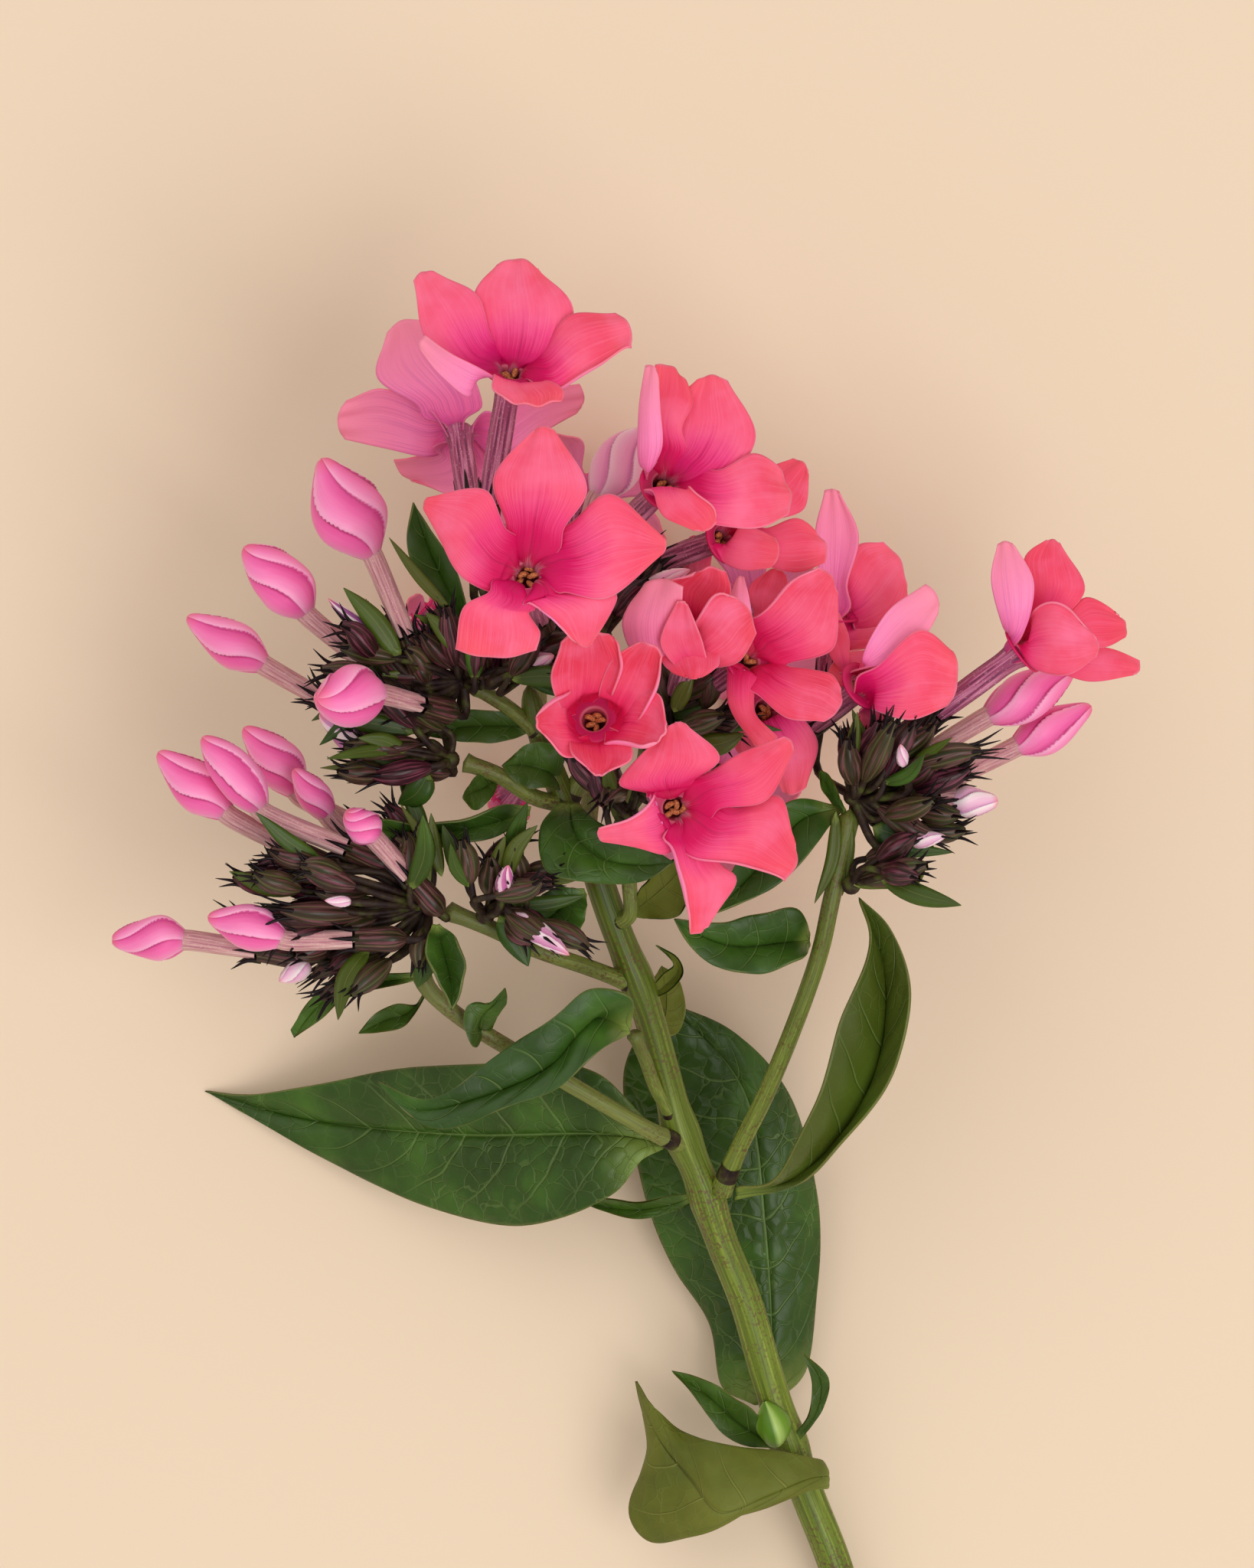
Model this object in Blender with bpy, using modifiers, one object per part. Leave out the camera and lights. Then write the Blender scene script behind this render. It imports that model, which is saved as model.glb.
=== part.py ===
"""A cut stem of garden phlox in flower, lying on its back on a table.

Run with: blender --background --python part.py

Metres, +Z up, the table at Z = 0. The stem runs along +Y from its cut end to its head, and its
front looks up. Each piece is set out as an eye straight above it sees it. A spot is (x, y, height):
x and y count pixels right and down in a view 1638 wide and 2048 high, and height is in millimetres
over the table.
"""

from collections import namedtuple
from math import cos, pi, radians, sin

import bmesh
import bpy
import numpy as np
from mathutils import Vector

# Driving dimensions, in millimetres
PIXEL = 0.095
EYE_HEIGHT = 1200.0
STEM_HEIGHT = 40.0
TUBE_RADIUS = 0.95
MOUTH_RADIUS = 1.5
CALYX_LENGTH = 6.0
CALYX_RADIUS = 1.4
CALYX_OPENING = 1.2
AWN_LENGTH = 3.4
AWN_SPREAD = 2.7
YOUNG_RADIUS = 1.3
PEDICEL_RADIUS = 0.6
HUB_RADIUS = 1.2
AXIL_BUD_RADIUS = 2.2
BLADE_THICKNESS = 0.6
SEAT_GAP = 0.35
UNDER_RADIUS = 12.5
MM = 0.001
UNION_WELD = 0.0000002
UP = np.array([0.0, 0.0, 1.0])

# The view's middle, and the pixel that the origin lies under
VIEW_X, VIEW_Y = 819.0, 1024.0
ORIGIN_X, ORIGIN_Y = 816.0, 1291.6

COLOURS = {
    "stem": (0.20, 0.30, 0.06),
    "leaf": (0.05, 0.14, 0.03),
    "petal": (0.90, 0.12, 0.17),
    "bud": (0.85, 0.25, 0.45),
    "calyx": (0.06, 0.015, 0.03),
}

# A petal's two edges go from its shoulders to its tip, left and right as its face is seen with the tip up.
# Their heights are over the throat. The middle bows towards the face by bow millimetres. A bloom's petals
# have that many rows of faces from the throat to the tip.
Petal = namedtuple("Petal", "left right bow", defaults=(0.8,))
Bloom = namedtuple("Bloom", "name foot throat petals rows", defaults=(4,))
Bud = namedtuple("Bud", "name foot neck tip radius twist", defaults=(0.9,))
# A young calyx is shut round its bud: base, where it closes, and the bud's tip.
Young = namedtuple("Young", "base mouth tip")
# A leaf's edges and midrib go from its base to its tip.
Leaf = namedtuple("Leaf", "name left middle right")
# A cyme is a cluster of flowers: its hub, the blooms and buds that it carries, and its young calyces.
Cyme = namedtuple("Cyme", "name hub flowers young")

STEM = [
    (1130, 2190, 1.95), (1092, 2048, 6), (1058, 1960, 8), (1035, 1900, 10), (1003, 1800, 13),
    (974, 1700, 16),
    (942, 1620, 19), (915, 1540, 22), (890, 1480, 24), (868, 1400, 27), (842, 1310, 31), (800, 1200, 35),
    (768, 1110, 37), (735, 1040, 39), (702, 950, 41), (690, 893, 42.7),
]
STEM_RADII = (2.1, 2.1, 2.0, 1.9, 1.8, 1.3)
BRANCHES = {
    "right": ([(938, 1565, 22), (965, 1500, 27), (1000, 1430, 32), (1045, 1320, 38), (1072, 1240, 41),
               (1085, 1180, 43), (1105, 1090, 44), (1111, 1056, 44.2)], 1.05),
    "left_low": ([(895, 1495, 24), (860, 1482, 28), (760, 1425, 33), (680, 1378, 36), (600, 1328, 38),
                  (560, 1292, 40), (548, 1268, 41)], 1.0),
    "left_middle": ([(838, 1290, 31.5), (770, 1264, 36), (700, 1240, 39), (640, 1212, 41),
                     (580, 1188, 42.0)], 1.0),
    "left_high": ([(738, 1050, 39), (700, 1042, 41), (650, 1012, 43), (605, 995, 43.5)], 1.0),
    "left_top": ([(705, 960, 41), (665, 925, 42.5), (622, 898, 43.5)], 0.9),
    "front": ([(800, 1205, 35), (822, 1195, 37), (822, 1150, 39), (822, 1075, 41.7)], 1.0),
    "upper_right": ([(740, 1050, 38.5), (775, 980, 40), (804, 885, 41.6)], 1.1),
    "centre": ([(785, 1150, 36), (820, 1060, 35), (849, 979, 36.1)], 1.1),
    "under": ([(765, 1100, 37), (775, 1020, 30), (790, 955, 25)], 1.1),
    "under_top": ([(705, 960, 41), (705, 890, 34), (712, 836, 29.6)], 0.9),
    "petiole": ([(880, 1462, 25.5), (856, 1420, 29), (843, 1385, 31.5), (828, 1350, 35.5)], 0.8),
}

BLOOMS = [
    Bloom("bloom_star", (704, 806, 58), (688, 752, 76), [
        Petal([(662, 685, -0.4), (644, 626, 0), (695, 564, 0)],
              [(736, 692, 0.8), (767, 640, 1.2), (724, 562, 0.4)]),
        Petal([(748, 682, -0.6), (795, 645, -0.2), (868, 704, -1)],
              [(738, 774, 0.8), (792, 782, 0.8), (864, 724, -0.6)]),
        Petal([(752, 774, -0.6), (806, 776, -0.4), (772, 842, -1)],
              [(684, 785, 0.8), (722, 818, 0.8), (756, 841, -0.4)]),
        Petal([(690, 800, -0.6), (706, 826, -0.4), (700, 849, -0.6)],
              [(640, 772, 0.6), (606, 792, 0.6), (595, 848, 0)]),
        Petal([(648, 776, -0.6), (602, 752, -0.4), (556, 668, -1.2)],
              [(660, 690, 0.8), (635, 640, 0.9), (558, 650, -0.8)]),
    ]),
    Bloom("bloom_top", (640, 655, 54), (667, 487, 64), [
        Petal([(630, 440, -2), (619, 385, -3), (650, 346, -4)],
              [(712, 450, -1), (747, 400, -2), (702, 350, -4)]),
        Petal([(590, 462, 0), (556, 425, -1), (541, 364, -2)],
              [(642, 440, -1), (622, 385, -2), (566, 356, -3)]),
        Petal([(712, 455, -1), (745, 412, -1), (804, 408, -1)],
              [(737, 505, 1.5), (775, 483, 2), (823, 454, 1)]),
        Petal([(628, 482, 4), (590, 462, 5), (556, 438, 4)],
              [(612, 518, 3), (575, 490, 4), (548, 456, 3.5)], 0.3),
        Petal([(716, 498, 3.5), (736, 510, 5.5), (733, 522, 6.5)],
              [(645, 490, 3.5), (643, 506, 5.5), (660, 522, 6.5)], -0.6),
    ], 3),
    Bloom("bloom_top_back", (612, 652, 46), (600, 564, 38), [
        Petal([(555, 532, 0), (497, 508, 0), (452, 524, -1)],
              [(560, 597, -1.5), (500, 585, -2), (450, 574, -2)]),
        Petal([(628, 520, 2), (602, 460, 2), (552, 420, 3)],
              [(545, 530, 1), (492, 492, 1.5), (506, 436, 2)]),
        Petal([(664, 600, -1), (708, 566, -1), (752, 540, 0)],
              [(650, 540, 1), (702, 512, 1), (757, 502, 1)]),
        Petal([(570, 592, -2), (540, 597, -3), (515, 600, -4)],
              [(612, 640, -4), (588, 646, -5), (545, 628, -5)]),
        Petal([(628, 640, -4), (648, 680, -6), (676, 690, -7)],
              [(650, 600, -3), (684, 620, -5), (700, 652, -7)]),
    ], 3),
    Bloom("bloom_funnel", (808, 694, 48), (868, 634, 62), [
        Petal([(868, 585, 3), (866, 530, 4), (858, 484, 3)],
              [(838, 610, 2), (834, 550, 3), (844, 478, 2)], -1.0),
        Petal([(852, 580, -1), (850, 520, -1.5), (856, 476, -2)],
              [(890, 560, -1), (905, 525, -2), (894, 500, -3)]),
        Petal([(872, 580, -2), (882, 525, -3.5), (908, 500, -4)],
              [(962, 615, -1), (987, 570, -3), (950, 498, -4)]),
        Petal([(940, 615, 0), (985, 592, -1.5), (1016, 614, -3)],
              [(925, 684, 2), (990, 690, 1), (1030, 672, -1)]),
        Petal([(905, 642, 4.5), (932, 662, 6), (936, 682, 6.5)],
              [(852, 642, 4.5), (866, 674, 6), (908, 692, 6.5)]),
    ], 3),
    Bloom("bloom_mid_back", (868, 732, 44), (944, 704, 50), [
        Petal([(965, 690, 1.5), (990, 692, 2), (1012, 702, 2)],
              [(940, 730, 1.5), (970, 745, 2), (1006, 742, 2)]),
        Petal([(965, 650, -2), (1005, 612, -3), (1036, 599, -4)],
              [(1000, 684, -1), (1050, 665, -2), (1056, 622, -3)]),
        Petal([(1000, 690, -1), (1040, 678, -1.5), (1062, 694, -2)],
              [(985, 735, 0), (1040, 748, 0), (1078, 735, -1)]),
        Petal([(930, 724, -3), (930, 760, -6), (950, 786, -8)],
              [(905, 700, -4), (890, 735, -7), (900, 780, -10)]),
        Petal([(910, 690, -3), (890, 650, -6), (900, 610, -8)],
              [(945, 670, -3), (945, 630, -6), (935, 605, -8)]),
    ], 3),
    Bloom("bloom_side", (916, 905, 45), (976, 862, 54), [
        Petal([(992, 800, 0.5), (1025, 762, 0.5), (1068, 741, 0)],
              [(1030, 866, -1), (1088, 848, -1), (1091, 778, -1)]),
        Petal([(1030, 872, -0.5), (1086, 880, 0), (1098, 900, 0)],
              [(990, 908, 2), (1028, 938, 3), (1076, 942, 2)]),
        Petal([(981, 820, 2.5), (979, 785, 3), (972, 754, 2)],
              [(956, 842, 2), (952, 790, 2.5), (962, 756, 1.5)], -0.6),
        Petal([(985, 805, -3), (978, 770, -4), (1000, 747, -5)],
              [(1015, 800, -3), (1032, 775, -4), (1026, 751, -5)]),
        Petal([(988, 885, 1.5), (986, 930, 1.5), (1016, 962, 0)],
              [(950, 872, 1.5), (952, 920, 2), (986, 974, 0.5)]),
    ], 3),
    Bloom("bloom_side_low", (948, 950, 37), (1000, 930, 45), [
        Petal([(1040, 930, 1), (1068, 970, 1.5), (1052, 1028, 1)],
              [(985, 955, 1), (1000, 990, 1), (1022, 1034, 0)]),
        Petal([(1006, 900, -3), (1025, 880, -6), (1040, 882, -9)],
              [(1025, 925, -2), (1040, 920, -5), (1046, 905, -8)]),
        Petal([(985, 955, -3), (996, 975, -4), (996, 992, -5)],
              [(965, 945, -4), (958, 970, -5), (970, 992, -5.5)]),
        Petal([(980, 925, -5), (965, 900, -9), (975, 870, -12)],
              [(1005, 905, -4), (1005, 880, -9), (1000, 860, -12)]),
        Petal([(1024, 940, -5), (1030, 958, -9), (1028, 980, -12)],
              [(1008, 952, -6), (1010, 975, -10), (1014, 990, -12)]),
    ], 3),
    Bloom("bloom_half_open", (884, 902, 46), (906, 845, 57), [
        Petal([(884, 850, 2.5), (889, 812, 6), (893, 768, 9)],
              [(832, 842, 2), (815, 815, 4), (840, 768, 6)], -1.5),
        Petal([(880, 805, 0.5), (862, 766, 2), (905, 752, 3)],
              [(930, 805, 1), (955, 775, 2), (948, 747, 3)], -0.6),
        Petal([(934, 815, 4), (938, 778, 6), (952, 782, 6)],
              [(936, 864, 3), (966, 861, 4), (984, 826, 4)], 1.2),
        Petal([(930, 852, 4), (933, 868, 6), (918, 880, 6)],
              [(868, 846, 3), (873, 870, 4.5), (896, 881, 5.5)], 0.6),
        Petal([(924, 858, 5), (914, 828, 7), (898, 800, 8)],
              [(892, 868, 4.5), (874, 845, 6.5), (890, 805, 8)], 0.6),
    ], 3),
    Bloom("bloom_cup", (792, 1000, 50), (776, 940, 62), [
        Petal([(748, 905, 3), (722, 880, 5.5), (735, 837, 7.5)],
              [(800, 900, 3), (808, 868, 5), (792, 832, 7)], -1.2),
        Petal([(795, 905, 2.5), (815, 850, 5), (838, 843, 6)],
              [(835, 930, 3), (854, 895, 5), (862, 856, 6.5)], -1.0),
        Petal([(830, 900, 2.5), (857, 915, 5), (869, 948, 7)],
              [(806, 962, 3.5), (830, 967, 6), (856, 968, 7)], -1.0),
        Petal([(798, 965, 3.5), (810, 986, 6), (790, 1008, 7)],
              [(762, 955, 3.5), (762, 990, 6), (776, 1009, 7)], -1.0),
        Petal([(762, 968, 3), (735, 974, 5), (706, 950, 7)],
              [(764, 920, 3), (740, 920, 5), (702, 936, 7)], -1.0),
    ]),
    Bloom("bloom_low_star", (858, 1040, 50), (882, 1056, 64), [
        Petal([(846, 1036, 0), (808, 1024, 1), (868, 957, 1.5)],
              [(905, 1020, 0.6), (940, 990, 1.6), (896, 945, 1.5)]),
        Petal([(918, 1012, 0), (972, 982, 0.6), (1024, 962, 1)],
              [(940, 1056, 1), (1000, 1046, 1.6), (1036, 980, 1)]),
        Petal([(962, 1056, -0.6), (1018, 1040, -0.6), (1037, 1100, -0.6)],
              [(905, 1122, 0.6), (960, 1132, 1), (1024, 1150, 0)]),
        Petal([(940, 1128, -1), (962, 1148, -1), (925, 1206, -1)],
              [(868, 1108, 0.6), (880, 1160, 1), (901, 1219, -0.4)], 0.4),
        Petal([(870, 1116, -0.4), (830, 1106, 0), (788, 1100, 0)],
              [(854, 1034, 0.8), (820, 1066, 1.2), (782, 1082, 0.4)], 0.4),
    ]),
    Bloom("bloom_right_back", (1078, 892, 39.6), (1087, 806, 41.5), [
        Petal([(1106, 765, 2.5), (1122, 700, 2.5), (1098, 646, 1)],
              [(1070, 765, 1.5), (1064, 700, 1.5), (1078, 641, 0)]),
        Petal([(1106, 755, 0), (1120, 712, -1), (1154, 708, -2)],
              [(1120, 830, 0), (1176, 818, -0.5), (1183, 772, -1.5)]),
        Petal([(1118, 822, 1.2), (1158, 818, 1.5), (1178, 824, 1.5)],
              [(1100, 848, 1), (1125, 847, 1.5), (1152, 841, 1.5)], 0.3),
        Petal([(1075, 800, -4), (1080, 760, -8), (1105, 735, -11)],
              [(1105, 790, -4), (1130, 760, -8), (1130, 735, -11)]),
        Petal([(1105, 825, -4), (1140, 820, -8), (1160, 800, -12)],
              [(1080, 835, -4), (1110, 850, -9), (1140, 845, -13)]),
    ], 3),
    Bloom("bloom_right_low", (1062, 946, 42), (1126, 897, 48), [
        Petal([(1152, 852, 2), (1188, 818, 3), (1222, 800, 2)],
              [(1130, 868, 1.5), (1166, 800, 2), (1211, 765, 1)], 0.3),
        Petal([(1140, 928, 3), (1190, 940, 4), (1238, 922, 2)],
              [(1146, 870, 3), (1202, 822, 4), (1246, 852, 2)]),
        Petal([(1150, 928, -1), (1162, 956, -2), (1140, 960, -3)],
              [(1122, 930, -1), (1112, 952, -2), (1118, 962, -3)], 0.3),
        Petal([(1116, 892, -1), (1098, 898, -2), (1083, 890, -3)],
              [(1134, 862, -1), (1136, 850, -2), (1106, 852, -3)], 0.3),
        Petal([(1102, 880, -2), (1084, 855, -3), (1082, 820, -4)],
              [(1112, 870, -2), (1109, 832, -3), (1096, 800, -4)], 0.3),
    ], 3),
    Bloom("bloom_far_right", (1222, 932, 42), (1334, 850, 46), [
        Petal([(1346, 800, 3), (1350, 758, 3.5), (1326, 714, 2)],
              [(1312, 822, 2), (1295, 760, 2.5), (1303, 711, 1)], -0.6),
        Petal([(1345, 790, -1), (1338, 730, -2), (1366, 707, -3)],
              [(1392, 805, -1), (1416, 770, -2), (1384, 710, -3)]),
        Petal([(1352, 800, 2), (1376, 784, 4), (1424, 826, 4.5)],
              [(1350, 872, 3), (1392, 882, 4.5), (1432, 858, 4.5)]),
        Petal([(1385, 815, -1), (1418, 780, -2), (1458, 802, -3)],
              [(1390, 842, -0.5), (1440, 846, -1.5), (1470, 832, -3)]),
        Petal([(1385, 850, -2), (1446, 846, -3), (1489, 863, -4)],
              [(1380, 878, -1), (1422, 890, -2), (1480, 882, -3)]),
    ], 3),
]

# The blooms that the head rests on: name, foot, throat and how far round the first petal points, in degrees
UNDER_BLOOMS = [
    ("bloom_under_left", (640, 850, 18), (560, 812, 4.6), 20),
    ("bloom_under_top", (748, 770, 18), (752, 660, 4.6), 50),
    ("bloom_under_right", (900, 860, 18), (985, 800, 4.6), 10),
    ("bloom_under_low", (860, 975, 18), (940, 1030, 4.6), 40),
    ("bloom_under_low_left", (735, 960, 18), (664, 1040, 4.6), 0),
]

BUDS = [
    Bud("bud_top_left", (532, 832, 47), (488, 728, 49), (420, 598, 51), 4.4),
    Bud("bud_left_high", (472, 862, 43), (402, 804, 44), (318, 714, 45), 3.5),
    Bud("bud_left_middle", (420, 912, 37), (350, 872, 36), (244, 805, 35), 3.0),
    Bud("bud_end_on", (550, 920, 49), (496, 906, 54), (414, 912, 63), 3.9),
    Bud("bud_striped", (524, 992, 42), (494, 984, 42), (418, 930, 43), 2.4),
    Bud("bud_left_outer", (388, 1112, 41), (300, 1066, 41), (206, 982, 40), 2.9),
    Bud("bud_left_inner", (455, 1108, 45), (342, 1060, 45), (264, 962, 45), 3.0),
    Bud("bud_left_behind", (465, 1078, 35), (392, 1040, 33), (318, 950, 33), 2.9),
    Bud("bud_left_hidden", (486, 1120, 38), (432, 1070, 38.5), (384, 1004, 39), 2.1),
    Bud("bud_withered", (535, 1146, 47), (490, 1096, 49), (452, 1060, 51), 2.4, 2.4),
    Bud("bud_low_outer", (338, 1241, 39), (246, 1228, 38), (145, 1228, 37), 2.7),
    Bud("bud_low_inner", (464, 1227, 46), (374, 1228, 46), (271, 1197, 46), 2.7),
    Bud("bud_pale_top", (762, 706, 43), (780, 650, 44), (848, 560, 44), 3.1),
    Bud("bud_right_high", (1207, 986, 41), (1286, 938, 38), (1402, 878, 37), 3.1),
    Bud("bud_right_low", (1243, 1018, 38), (1322, 978, 34.6), (1426, 922, 33.6), 2.7),
    Bud("bud_right_pale", (1226, 1046, 42), (1240, 1044, 42), (1304, 1046, 42), 1.9),
]

CYMES = [
    Cyme("cyme_top", (690, 880, 43.5), ("bloom_star", "bloom_top", "bloom_top_back"),
         [Young((660, 880, 47), (680, 872, 50), (720, 862, 54))]),
    Cyme("cyme_upper_right", (806, 870, 42), ("bud_pale_top", "bloom_funnel", "bloom_mid_back"),
         [Young((806, 800, 52), (830, 770, 55), (866, 742, 57))]),
    Cyme("cyme_centre", (855, 965, 36.5),
         ("bloom_side", "bloom_half_open", "bloom_side_low", "bloom_right_low"),
         [Young((880, 965, 46), (920, 950, 49), (966, 960, 50))]),
    Cyme("cyme_front", (822, 1062, 42.5), ("bloom_cup", "bloom_low_star"),
         [Young((815, 1030, 50), (795, 1036, 54), (776, 1068, 57))]),
    Cyme("cyme_right", (1114, 1040, 44.9),
         ("bloom_right_back", "bloom_far_right", "bud_right_high", "bud_right_low", "bud_right_pale"),
         [Young((1116, 1022, 49), (1108, 985, 52), (1106, 942, 54)),
          Young((1130, 1018, 50), (1158, 960, 55), (1180, 922, 57)),
          Young((1150, 1056, 46), (1200, 1088, 46), (1256, 1098, 46)),
          Young((1190, 1000, 47), (1250, 984, 48), (1320, 976, 48))]),
    Cyme("cyme_right_low", (1112, 1156, 44.8), (),
         [Young((1126, 1148, 46), (1170, 1138, 47), (1212, 1120, 48))]),
    Cyme("cyme_left_high", (606, 888, 44),
         ("bud_top_left", "bud_left_high", "bud_left_middle", "bud_end_on"),
         [Young((596, 866, 47), (586, 808, 50), (580, 772, 52)),
          Young((588, 868, 46), (560, 838, 48), (538, 812, 50)),
          Young((540, 862, 44), (506, 830, 44), (464, 788, 45))]),
    Cyme("cyme_left_middle", (588, 992, 43.5), ("bud_striped",),
         [Young((560, 1002, 46), (510, 1012, 47), (452, 1014, 48))]),
    Cyme("cyme_left_low", (560, 1182, 42.5),
         ("bud_left_outer", "bud_left_inner", "bud_left_behind", "bud_left_hidden", "bud_withered",
          "bud_low_outer", "bud_low_inner"),
         [Young((440, 1168, 44), (390, 1160, 45), (344, 1140, 46)),
          Young((470, 1194, 45), (400, 1192, 47), (325, 1184, 48)),
          Young((500, 1230, 39), (430, 1262, 38), (382, 1296, 37)),
          Young((556, 1215, 44), (548, 1250, 46), (545, 1282, 47))]),
    Cyme("cyme_left_small", (634, 1195, 43.3), (),
         [Young((656, 1172, 47), (664, 1152, 50), (662, 1132, 52)),
          Young((672, 1160, 46), (706, 1153, 48.6), (742, 1152, 50.2)),
          Young((664, 1192, 46), (700, 1216, 48), (744, 1244, 49))]),
    Cyme("cyme_under", (792, 940, 24.5),
         ("bloom_under_right", "bloom_under_low", "bloom_under_low_left"), []),
    Cyme("cyme_under_top", (712, 826, 28.5), ("bloom_under_left", "bloom_under_top"), []),
]

LEAVES = [
    Leaf("leaf_left_large",
         [(866, 1501, 25), (838, 1514, 26), (800, 1560, 25), (670, 1601, 18), (480, 1541, 7),
          (340, 1466, 2.5), (268, 1425, 0.3)],
         [(868, 1494, 24.5), (800, 1482, 25), (600, 1482, 15), (400, 1462, 4), (268, 1425, 0.3)],
         [(866, 1488, 24.5), (832, 1450, 25.5), (780, 1402, 27), (620, 1388, 20), (420, 1414, 8),
          (320, 1431, 3), (268, 1425, 0.3)]),
    Leaf("leaf_left_front",
         [(822, 1350, 36), (790, 1368, 42), (740, 1412, 43), (650, 1452, 42), (570, 1474, 41),
          (530, 1452, 40), (492, 1412, 39)],
         [(822, 1345, 36.5), (772, 1330, 40), (720, 1392, 41), (620, 1436, 41), (540, 1448, 40),
          (492, 1412, 39)],
         [(824, 1338, 37), (822, 1300, 43), (770, 1294, 44), (720, 1330, 43), (640, 1385, 42),
          (560, 1436, 41), (492, 1412, 39)]),
    Leaf("leaf_back_large",
         [(985, 1836, 9.1), (946, 1812, 6), (926, 1730, 6), (880, 1655, 6), (838, 1540, 8),
          (815, 1400, 12), (862, 1306, 17)],
         [(1000, 1835, 9.4), (1008, 1760, 9), (1000, 1600, 11), (975, 1430, 14), (915, 1350, 16),
          (862, 1306, 17)],
         [(1018, 1826, 9.1), (1054, 1790, 6), (1064, 1690, 6), (1067, 1560, 8), (1035, 1440, 11),
          (960, 1350, 15), (862, 1306, 17)]),
    Leaf("leaf_right_folded",
         [(962, 1550, 24), (1012, 1540, 30), (1060, 1450, 37), (1098, 1340, 39), (1136, 1225, 37),
          (1122, 1172, 35)],
         [(962, 1558, 22), (1040, 1535, 27), (1110, 1470, 31), (1150, 1380, 33), (1155, 1270, 34),
          (1122, 1172, 35)],
         [(960, 1566, 21), (1050, 1543, 29), (1105, 1488, 34), (1172, 1386, 38), (1191, 1300, 38),
          (1160, 1210, 36), (1122, 1172, 35)]),
    Leaf("leaf_under_cup",
         [(756, 1052, 41.2), (778, 1072, 46), (820, 1095, 48.5), (850, 1108, 49), (880, 1126, 49)],
         [(745, 1050, 41.1), (752, 1088, 45.5), (790, 1122, 47.5), (840, 1130, 48.5), (880, 1126, 49)],
         [(732, 1050, 41.2), (706, 1082, 46), (715, 1140, 48.5), (780, 1153, 48.5), (845, 1149, 49),
          (880, 1126, 49)]),
    Leaf("leaf_right_middle",
         [(1057, 1236, 39.5), (1048, 1252, 43), (1000, 1270, 44), (950, 1268, 45), (905, 1240, 46),
          (880, 1200, 46)],
         [(1057, 1228, 39.5), (1020, 1232, 41), (960, 1236, 43), (915, 1222, 45), (880, 1200, 46)],
         [(1057, 1218, 39.5), (1042, 1188, 43), (1000, 1191, 44), (950, 1204, 45), (905, 1203, 46),
          (880, 1200, 46)]),
    Leaf("leaf_right_back",
         [(1098, 1062, 43), (1070, 1096, 46), (1040, 1136, 47), (990, 1170, 48), (932, 1194, 49)],
         [(1094, 1056, 43), (1048, 1070, 44), (1010, 1112, 45), (970, 1155, 47), (932, 1194, 49)],
         [(1090, 1052, 43), (1036, 1044, 45), (985, 1085, 46.5), (955, 1140, 48), (932, 1194, 49)]),
    Leaf("leaf_left_slim",
         [(691, 1065, 42.8), (650, 1092, 45), (600, 1101, 46), (545, 1113, 46), (510, 1106, 46),
          (476, 1076, 45)],
         [(692, 1059, 42.8), (640, 1076, 44), (580, 1086, 44), (520, 1088, 45), (476, 1076, 45)],
         [(693, 1053, 42.8), (655, 1052, 45), (600, 1072, 46), (545, 1076, 46), (505, 1070, 46),
          (476, 1076, 45)]),
    Leaf("leaf_low_folded",
         [(1074, 1936, 9.6), (1079, 1944, 13.5), (1058, 1946, 16), (1000, 1970, 18), (945, 1984, 18),
          (885, 2012, 14), (845, 2012, 11), (826, 1980, 10), (846, 1890, 10), (831, 1804, 9)],
         [(1072, 1928, 9.6), (1081, 1928, 13.5), (1055, 1932, 16.5), (1000, 1956, 19), (942, 1976, 20),
          (903, 1932, 17), (862, 1880, 14), (831, 1804, 9)],
         [(1070, 1918, 9.6), (1075, 1908, 13.5), (1050, 1903, 16), (1000, 1893, 17), (940, 1886, 17),
          (885, 1866, 14), (850, 1832, 12), (831, 1804, 9)]),
    Leaf("leaf_beside_star",
         [(612, 874, 44.8), (598, 820, 47), (568, 778, 49), (545, 755, 50), (532, 705, 51), (540, 656, 52)],
         [(616, 874, 44.8), (606, 815, 46.5), (580, 760, 48), (560, 715, 49), (540, 656, 52)],
         [(620, 873, 44.8), (612, 810, 47), (600, 755, 49), (578, 715, 50), (552, 676, 51),
          (540, 656, 52)]),
    Leaf("leaf_left_hanging",
         [(575, 1208, 45.7), (596, 1226, 48), (607, 1262, 49), (600, 1300, 49), (590, 1320, 49)],
         [(570, 1208, 45.7), (578, 1240, 46), (588, 1280, 47), (590, 1320, 49)],
         [(565, 1208, 45.7), (556, 1232, 48), (562, 1262, 49), (580, 1295, 49), (590, 1320, 49)]),
    Leaf("leaf_behind_left",
         [(766, 1169, 37), (766, 1188, 38), (755, 1220, 39), (735, 1232, 39)],
         [(765, 1165, 37), (738, 1180, 37), (715, 1200, 38), (690, 1206, 39)],
         [(763, 1161, 37), (722, 1160, 38), (700, 1180, 39), (688, 1198, 39)]),
    Leaf("leaf_behind_stem",
         [(868, 1356, 26.6), (888, 1346, 24), (895, 1310, 23), (884, 1275, 22), (864, 1262, 21)],
         [(862, 1352, 26.6), (870, 1320, 24), (870, 1290, 23), (864, 1262, 21)],
         [(856, 1346, 26.6), (852, 1310, 24.5), (854, 1280, 23), (864, 1262, 21)]),
]

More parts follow.
